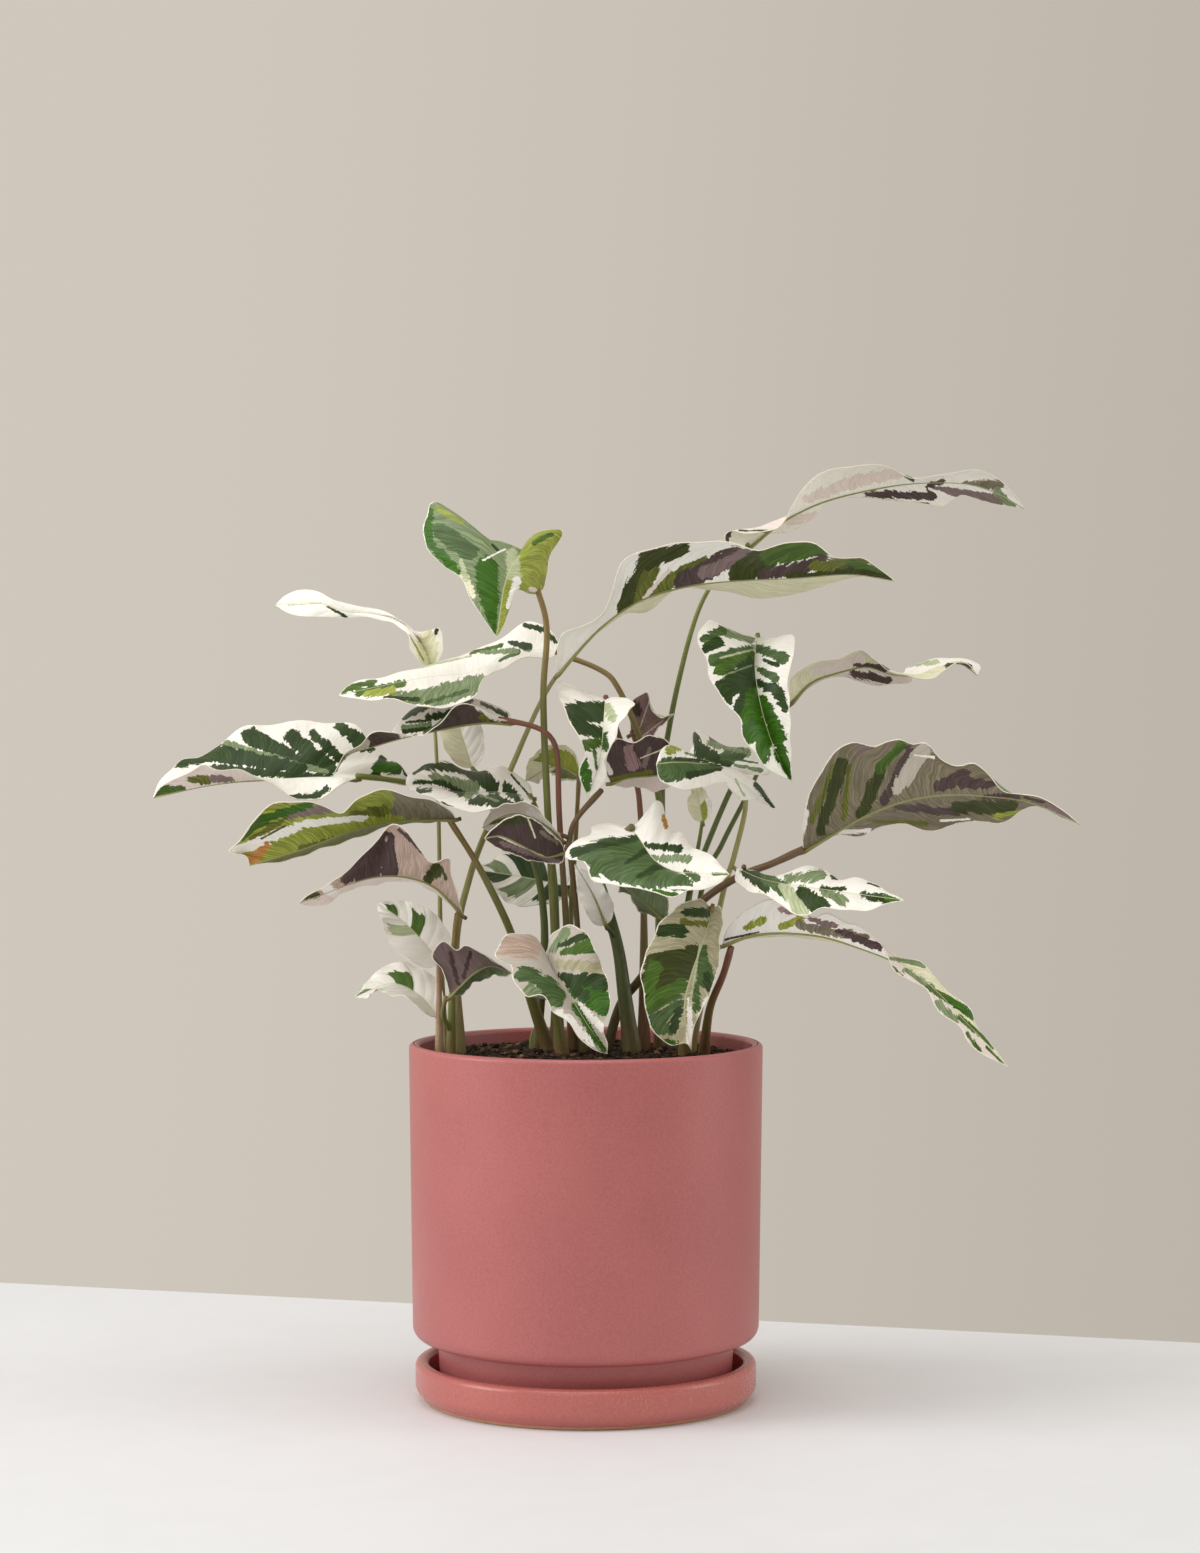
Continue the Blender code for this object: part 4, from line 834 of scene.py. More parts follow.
# Each blade: its midrib from base to tip as (x, y, height above the soil), and either its left and
# right margins in the same way, or its full half-width and the angles of its left and right halves.
BLADES = {
    "a": ("leaf_green", dict(
        mid=[(-34, -3, 284), (-40, -18, 278), (-45, -35, 264), (-47, -45, 249), (-49, -50, 235)],
        left_edge=[(-29, 6, 294), (-18, 12, 298), (-14, 12, 295), (-21, 10, 280), (-25, 4, 263),
            (-33, -4, 261), (-37, -16, 267), (-41, -32, 256), (-44, -44, 244)],
        right_edge=[(-48, -8, 290), (-60, -12, 292), (-73, -14, 302), (-82, -12, 310), (-88, -14, 309),
            (-91, -20, 298), (-88, -28, 285), (-79, -34, 275), (-69, -40, 268), (-64, -44, 258),
            (-58, -48, 248)])),
    "b": ("leaf_cream", dict(
        mid=[(-89, 34, 220), (-92, 36, 229), (-99, 38, 239), (-110, 42, 247), (-125, 46, 251),
            (-140, 50, 252), (-155, 54, 257), (-167, 57, 257), (-181, 60, 256)],
        left_edge=[(-95, 30, 222), (-100, 26, 229), (-101, 28, 237), (-107, 36, 243), (-116, 42, 246),
            (-128, 46, 249), (-139, 50, 248), (-151, 50, 249), (-164, 50, 249), (-174, 54, 252)],
        right_edge=[(-85, 32, 223), (-82, 28, 230), (-82, 26, 238), (-85, 24, 242), (-93, 32, 237),
            (-103, 40, 244), (-116, 44, 252), (-131, 48, 255), (-146, 52, 259), (-156, 58, 264),
            (-166, 62, 265), (-175, 62, 262)])),
    "c": ("leaf_cream", dict(
        mid=[(-17, 22, 229), (-32, 21, 229), (-49, 20, 225), (-66, 14, 216), (-86, 8, 214),
            (-108, 0, 210), (-139, -10, 203)],
        left_edge=[(-20, 10, 224), (-34, 4, 225), (-48, -6, 218), (-58, -14, 211), (-62, -20, 202),
            (-76, -22, 197), (-92, -24, 197), (-106, -24, 200), (-124, -18, 201)],
        right_edge=[(-16, 34, 235), (-24, 40, 244), (-34, 42, 246), (-45, 42, 238), (-58, 40, 232),
            (-78, 36, 225), (-95, 30, 219), (-115, 20, 214), (-131, 4, 211)])),
    "d": ("leaf_green", dict(
        mid=[(-42, -6, 188), (-59, -10, 188), (-82, -14, 184), (-104, -16, 179), (-120, -17, 174),
            (-133, -18, 170), (-141, -20, 159)],
        left_edge=[(-51, -22, 191), (-63, -30, 199), (-73, -32, 196), (-83, -26, 185), (-95, -22, 181),
            (-116, -26, 183), (-125, -24, 176), (-134, -24, 171)],
        right_edge=[(-44, 6, 194), (-55, 14, 199), (-71, 22, 202), (-86, 22, 203), (-99, 14, 195),
            (-106, 6, 188), (-108, 0, 181), (-119, -8, 175), (-130, -12, 173)])),
    "e": ("leaf_green", dict(
        mid=[(-130, 4, 156), (-150, 0, 157), (-172, -8, 156), (-194, -16, 155), (-215, -22, 152),
            (-241, -28, 146)],
        left_edge=[(-135, -14, 154), (-146, -22, 147), (-159, -28, 145), (-170, -30, 150),
            (-180, -32, 157), (-192, -34, 162), (-205, -36, 162), (-212, -36, 164), (-225, -32, 158),
            (-236, -28, 153)],
        right_edge=[(-115, 18, 154), (-101, 24, 153), (-106, 30, 163), (-115, 34, 167), (-122, 36, 176),
            (-135, 38, 186), (-153, 36, 188), (-171, 32, 189), (-186, 26, 186), (-197, 20, 184),
            (-208, 10, 175), (-218, 2, 169), (-227, -4, 168), (-232, -14, 162), (-238, -20, 155)])),
    "f": ("leaf_olive", dict(
        mid=[(-73, -12, 134), (-104, -18, 133), (-129, -24, 128), (-153, -30, 119), (-172, -36, 113),
            (-186, -40, 109)],
        left_edge=[(-76, -26, 139), (-85, -36, 145), (-98, -42, 148), (-113, -44, 151), (-124, -46, 147),
            (-134, -44, 138), (-144, -46, 142), (-157, -50, 145), (-171, -52, 144), (-180, -52, 137),
            (-188, -50, 125), (-197, -48, 117), (-188, -46, 115)],
        right_edge=[(-88, 0, 132), (-105, 6, 130), (-128, 2, 124), (-150, -8, 116), (-164, -18, 112),
            (-176, -28, 110)])),
    "g": ("leaf_green", dict(
        mid=[(-31, 14, 145), (-49, 12, 148), (-71, 10, 148), (-91, 8, 152), (-102, 6, 152)],
        left_edge=[(-31, -4, 142), (-45, -22, 141), (-56, -30, 138), (-70, -32, 140), (-81, -30, 144),
            (-93, -22, 148)],
        right_edge=[(-32, 26, 152), (-41, 34, 159), (-51, 38, 162), (-64, 38, 160), (-75, 36, 163),
            (-84, 34, 165), (-92, 30, 164), (-99, 22, 160), (-102, 14, 156)])),
    "h": ("leaf_cream", dict(
        mid=[(-13, -10, 122), (-23, -14, 131), (-37, -16, 137), (-48, -17, 135), (-58, -16, 129)],
        left_edge=[(-17, -20, 128), (-25, -24, 138), (-35, -26, 144), (-46, -26, 142), (-55, -22, 136)],
        right_edge=[(-20, -4, 124), (-31, -4, 131), (-43, -6, 132), (-53, -10, 127)])),
    "i": ("leaf_purple", dict(
        mid=[(-12, -12, 115), (-23, -24, 113), (-36, -34, 120), (-47, -38, 125), (-56, -40, 124)],
        left_edge=[(-13, -18, 120), (-21, -28, 128), (-28, -34, 134), (-35, -38, 137), (-43, -42, 135),
            (-51, -44, 130)],
        right_edge=[(-14, -16, 109), (-26, -22, 110), (-36, -30, 113), (-46, -36, 117), (-53, -40, 121)])),
    "j": ("leaf_purple", dict(
        mid=[(14, -4, 154), (25, 0, 157), (40, 3, 158), (60, 6, 160)],
        left_edge=[(18, 6, 152), (30, 10, 151), (39, 10, 149), (51, 8, 153)],
        right_edge=[(11, -12, 161), (12, -18, 169), (17, -22, 179), (26, -18, 177), (37, -14, 181),
            (46, -8, 177), (56, 0, 167)])),
    "k": ("leaf_green", dict(
        mid=[(11, 0, 201), (10, -14, 186), (8, -22, 167), (1, -25, 146)],
        left_edge=[(18, -4, 202), (27, -12, 200), (24, -20, 194), (19, -24, 186), (15, -26, 177),
            (11, -28, 168), (12, -28, 160), (8, -26, 152)],
        right_edge=[(1, 8, 205), (-14, 12, 211), (-16, 4, 205), (-12, -16, 197), (-10, -26, 190),
            (-6, -32, 183), (-2, -34, 177), (0, -32, 170), (-3, -34, 164), (-3, -32, 156)])),
    "m": ("leaf_purple", dict(
        mid=[(26, 27, 181), (37, 29, 188), (51, 31, 193)],
        left_edge=[(30, 24, 177), (37, 22, 179), (42, 26, 185)],
        right_edge=[(25, 20, 194), (28, 14, 201), (34, 10, 206), (36, 12, 201), (38, 18, 194),
            (44, 24, 191)])),
    "n": ("leaf_purple", dict(
        mid=[(-16, 0, 215), (-4, -2, 229), (11, -3, 244), (31, -4, 257), (59, -6, 265), (90, -8, 268),
            (120, -12, 269), (148, -16, 271), (173, -20, 267)],
        left_edge=[(-6, 4, 225), (8, 8, 240), (22, 14, 250), (34, 16, 251), (45, 18, 259), (56, 16, 264),
            (76, 16, 263), (94, 18, 260), (109, 16, 259), (124, 10, 262), (141, 4, 267), (155, -4, 271),
            (165, -14, 270)],
        right_edge=[(-16, -6, 226), (-13, -12, 238), (-3, -12, 242), (8, -14, 248), (14, -18, 259),
            (20, -24, 275), (30, -28, 283), (44, -28, 287), (58, -28, 289), (72, -30, 289),
            (83, -34, 286), (95, -38, 283), (105, -36, 286), (116, -36, 288), (127, -38, 288),
            (137, -38, 280), (147, -36, 279), (154, -34, 279), (164, -28, 273)])),
    "o": ("leaf_cream", dict(
        mid=[(91, 24, 286), (108, 28, 300), (123, 32, 309), (140, 36, 316), (164, 42, 322),
            (190, 46, 326), (220, 50, 326), (240, 54, 320), (254, 56, 312)],
        left_edge=[(106, 36, 296), (116, 40, 298), (126, 42, 302), (133, 44, 309), (139, 46, 315),
            (156, 50, 318), (170, 52, 317), (185, 52, 316), (199, 52, 314), (207, 54, 313),
            (217, 54, 319), (227, 56, 317), (241, 58, 314)],
        right_edge=[(81, 16, 289), (78, 14, 294), (82, 12, 297), (90, 12, 295), (102, 14, 297),
            (111, 16, 300), (118, 16, 310), (123, 16, 320), (129, 18, 327), (139, 20, 332),
            (154, 22, 335), (167, 24, 335), (176, 26, 332), (186, 34, 328), (195, 34, 328),
            (206, 30, 330), (218, 32, 333), (226, 34, 333), (237, 38, 328), (245, 44, 322),
            (250, 50, 317)])),
    "p": ("leaf_green", dict(
        mid=[(97, 2, 236), (95, -8, 223), (96, -18, 207), (100, -26, 188), (106, -30, 171),
            (115, -30, 155)],
        left_edge=[(104, -6, 235), (112, -12, 237), (117, -16, 236), (116, -22, 226), (113, -28, 213),
            (113, -32, 198), (114, -34, 181), (114, -34, 166)],
        right_edge=[(87, -6, 238), (80, -12, 241), (72, -16, 245), (66, -20, 242), (62, -24, 238),
            (63, -28, 230), (68, -32, 220), (71, -36, 210), (77, -40, 199), (84, -42, 191),
            (87, -44, 180), (94, -44, 172), (98, -42, 165), (105, -38, 160)])),
    "q": ("leaf_cream", dict(
        mid=[(117, 21, 199), (129, 25, 211), (146, 30, 217), (162, 36, 220), (175, 40, 216),
            (190, 42, 215), (204, 43, 220), (216, 44, 222), (226, 44, 215)],
        left_edge=[(130, 28, 209), (145, 34, 215), (155, 38, 212), (168, 40, 209), (180, 44, 210),
            (189, 48, 213), (185, 52, 219), (197, 54, 223), (208, 54, 225), (218, 50, 225),
            (228, 48, 221)],
        right_edge=[(116, 14, 206), (117, 10, 214), (128, 8, 221), (143, 10, 224), (153, 12, 228),
            (158, 14, 229), (164, 18, 225), (171, 26, 219), (180, 32, 215), (191, 32, 213),
            (200, 32, 214), (207, 34, 219), (214, 36, 223), (220, 38, 221)])),
    "r": ("leaf_green", dict(
        mid=[(79, -8, 164), (64, -22, 165), (50, -36, 166), (39, -44, 165)],
        left_edge=[(90, -2, 158), (101, 2, 150), (108, 6, 139), (97, 0, 144), (87, -8, 144),
            (78, -18, 155), (66, -30, 152), (57, -40, 151), (48, -48, 153), (41, -50, 157)],
        right_edge=[(90, 6, 161), (103, 10, 158), (105, 14, 165), (98, 18, 173), (85, 20, 173),
            (72, 20, 179), (63, 18, 185), (61, 12, 177), (63, 4, 169), (56, -10, 172), (48, -26, 176),
            (42, -36, 173)])),
    "s": ("leaf_green", dict(
        mid=[(26, -26, 129), (31, -34, 122), (38, -42, 112), (49, -48, 106), (63, -53, 105),
            (79, -58, 105)],
        left_edge=[(29, -22, 132), (35, -14, 139), (39, -10, 144), (43, -10, 141), (46, -16, 132),
            (48, -22, 127), (54, -26, 126), (59, -32, 119), (63, -36, 117), (70, -44, 114),
            (75, -52, 109)],
        right_edge=[(22, -18, 130), (12, -14, 132), (4, -16, 130), (1, -34, 125), (-7, -50, 121),
            (-10, -56, 114), (-2, -58, 112), (3, -62, 103), (11, -64, 100), (20, -66, 98), (28, -68, 98),
            (38, -70, 95), (47, -70, 93), (55, -68, 97), (64, -66, 97), (73, -62, 100)])),
    "t": ("leaf_green", dict(
        mid=[(84, -32, 107), (99, -44, 101), (118, -54, 98), (142, -62, 95), (174, -70, 91)],
        left_edge=[(93, -24, 105), (106, -26, 102), (118, -28, 107), (129, -34, 107), (138, -42, 103),
            (141, -46, 102), (150, -50, 102), (159, -56, 99), (167, -64, 95)],
        right_edge=[(83, -44, 101), (89, -56, 96), (102, -66, 92), (112, -74, 85), (121, -76, 84),
            (129, -76, 87), (142, -78, 86), (154, -78, 87), (166, -74, 90)])),
    "u": ("leaf_purple", dict(
        mid=[(122, -16, 116), (137, -20, 125), (158, -26, 137), (180, -32, 145), (202, -38, 148),
            (223, -42, 147), (245, -46, 144), (272, -52, 132)],
        left_edge=[(133, -10, 121), (144, -6, 125), (156, -2, 124), (167, 0, 130), (180, -4, 130),
            (196, -10, 127), (209, -16, 132), (219, -22, 133), (232, -28, 132), (242, -36, 139),
            (251, -42, 142), (262, -48, 136)],
        right_edge=[(121, -26, 127), (122, -34, 142), (127, -40, 156), (136, -44, 168), (146, -48, 177),
            (153, -46, 177), (159, -44, 175), (166, -48, 178), (173, -50, 180), (181, -46, 176),
            (188, -50, 176), (195, -50, 168), (205, -48, 164), (213, -52, 166), (221, -52, 160),
            (230, -48, 151), (239, -48, 149), (250, -50, 147), (261, -52, 141)])),
    "v": ("leaf_cream", dict(
        mid=[(76, -30, 64), (91, -36, 70), (110, -44, 72), (132, -50, 70), (151, -54, 64), (165, -57, 59),
            (178, -60, 52), (191, -62, 42), (207, -64, 25), (231, -68, 0)],
        left_edge=[(86, -26, 66), (102, -32, 69), (124, -40, 69), (146, -46, 64), (162, -50, 61),
            (166, -50, 62), (175, -52, 59), (183, -54, 58), (192, -54, 48), (200, -56, 39),
            (211, -58, 31), (214, -60, 23), (222, -64, 12)],
        right_edge=[(78, -38, 73), (85, -46, 82), (97, -52, 90), (106, -54, 90), (116, -56, 85),
            (126, -56, 81), (132, -60, 84), (142, -60, 79), (151, -62, 77), (161, -62, 68),
            (165, -62, 60), (169, -64, 52), (177, -68, 47), (186, -70, 42), (193, -72, 31),
            (204, -72, 23), (208, -72, 15), (215, -70, 8)])),
    "w": ("leaf_green", dict(
        mid=[(70, -40, 85), (65, -50, 68), (58, -58, 50), (54, -62, 31), (58, -62, 9)],
        left_edge=[(74, -38, 86), (76, -42, 78), (74, -46, 67), (73, -52, 53), (69, -56, 41),
            (64, -60, 31), (60, -62, 23), (58, -64, 15)],
        right_edge=[(63, -46, 91), (55, -52, 89), (47, -56, 84), (39, -60, 77), (36, -62, 68),
            (33, -66, 60), (30, -70, 51), (31, -72, 41), (33, -72, 31), (38, -70, 19), (46, -68, 12),
            (54, -66, 13)])),
    "x": ("leaf_green", dict(
        mid=[(-24, -38, 56), (-16, -46, 48), (-8, -53, 37), (0, -60, 24), (12, -66, 7)],
        left_edge=[(-21, -36, 62), (-19, -36, 70), (-11, -38, 76), (-2, -42, 73), (5, -46, 65),
            (9, -50, 54), (13, -56, 42), (14, -60, 33), (11, -63, 26), (10, -65, 19), (12, -66, 13)],
        right_edge=[(-27, -42, 63), (-28, -44, 70), (-37, -46, 72), (-45, -50, 70), (-51, -54, 61),
            (-45, -56, 56), (-40, -58, 55), (-39, -62, 47), (-33, -66, 39), (-24, -68, 39),
            (-18, -70, 31), (-10, -72, 26), (-4, -73, 18), (4, -72, 10)])),
    "y": ("leaf_purple", dict(
        mid=[(-76, -24, 35), (-69, -27, 42), (-61, -28, 49), (-52, -26, 52), (-41, -24, 48)],
        left_edge=[(-71, -18, 35), (-62, -16, 42), (-52, -18, 46), (-45, -22, 46)],
        right_edge=[(-77, -28, 42), (-80, -32, 51), (-85, -36, 58), (-79, -40, 67), (-72, -36, 62),
            (-66, -38, 64), (-56, -34, 59), (-48, -28, 53)])),
    "z": ("leaf_purple", dict(
        mid=[(-69, -12, 80), (-76, -16, 88), (-86, -20, 97), (-101, -24, 102), (-117, -28, 102),
            (-132, -32, 98), (-145, -34, 93), (-159, -36, 88)],
        left_edge=[(-72, -24, 92), (-75, -32, 106), (-76, -36, 113), (-85, -38, 111), (-91, -42, 117),
            (-98, -46, 127), (-107, -48, 132), (-115, -50, 124), (-125, -50, 112), (-135, -48, 103),
            (-144, -44, 98), (-152, -42, 94)],
        right_edge=[(-76, -8, 86), (-90, -8, 95), (-107, -8, 99), (-124, -14, 96), (-137, -22, 92),
            (-145, -28, 87), (-153, -32, 86)])),
    "aa": ("leaf_cream", dict(mid=[(-83, -2, 53), (-94, 2, 66), (-106, 7, 77), (-119, 12, 85)],
        half=16, left=(60, 60), right=(-100, -100), lobe=-20)),
    "ac": ("leaf_cream", dict(mid=[(-84, 5, 21), (-95, 10, 33), (-111, 16, 39), (-132, 20, 31)],
        half=15, left=(30, 30), right=(-100, -110), lobe=10)),
    "ad": ("leaf_green", dict(mid=[(-12, 50, 93), (-37, 53, 98), (-63, 55, 102)],
        half=22, left=(45, 45), right=(-130, -130), lobe=-20)),
    "ae": ("leaf_cream", dict(mid=[(11, -4, 74), (4, -7, 91), (-6, -9, 108)],
        half=9, left=(-80, -80), right=(70, 70), lobe=0)),
    "af": ("leaf_cream", dict(mid=[(44, 0, 77), (31, -1, 88), (19, -4, 97)],
        half=14, left=(-70, -70), right=(160, 160), lobe=0)),
    "ah": ("leaf_cream", dict(mid=[(-66, 46, 162), (-73, 48, 184), (-80, 48, 207)],
        half=13, left=(80, 80), right=(-80, -80), lobe=0)),
    "ai": ("leaf_olive", dict(mid=[(-4, 32, 158), (-18, 38, 163), (-35, 42, 154)],
        half=14, left=(-60, -60), right=(150, 150), lobe=0)),
    "ak": ("leaf_cream", dict(mid=[(66, 5, 132), (64, 3, 143), (62, 0, 154)],
        half=7, left=(80, 80), right=(-80, -80), lobe=0)),
}

def ground(left, right):
    """One colour all over the left half and one over the right."""
    return dict(left=[(1, left, 1.3)], right=[(1, right, 1.3)])


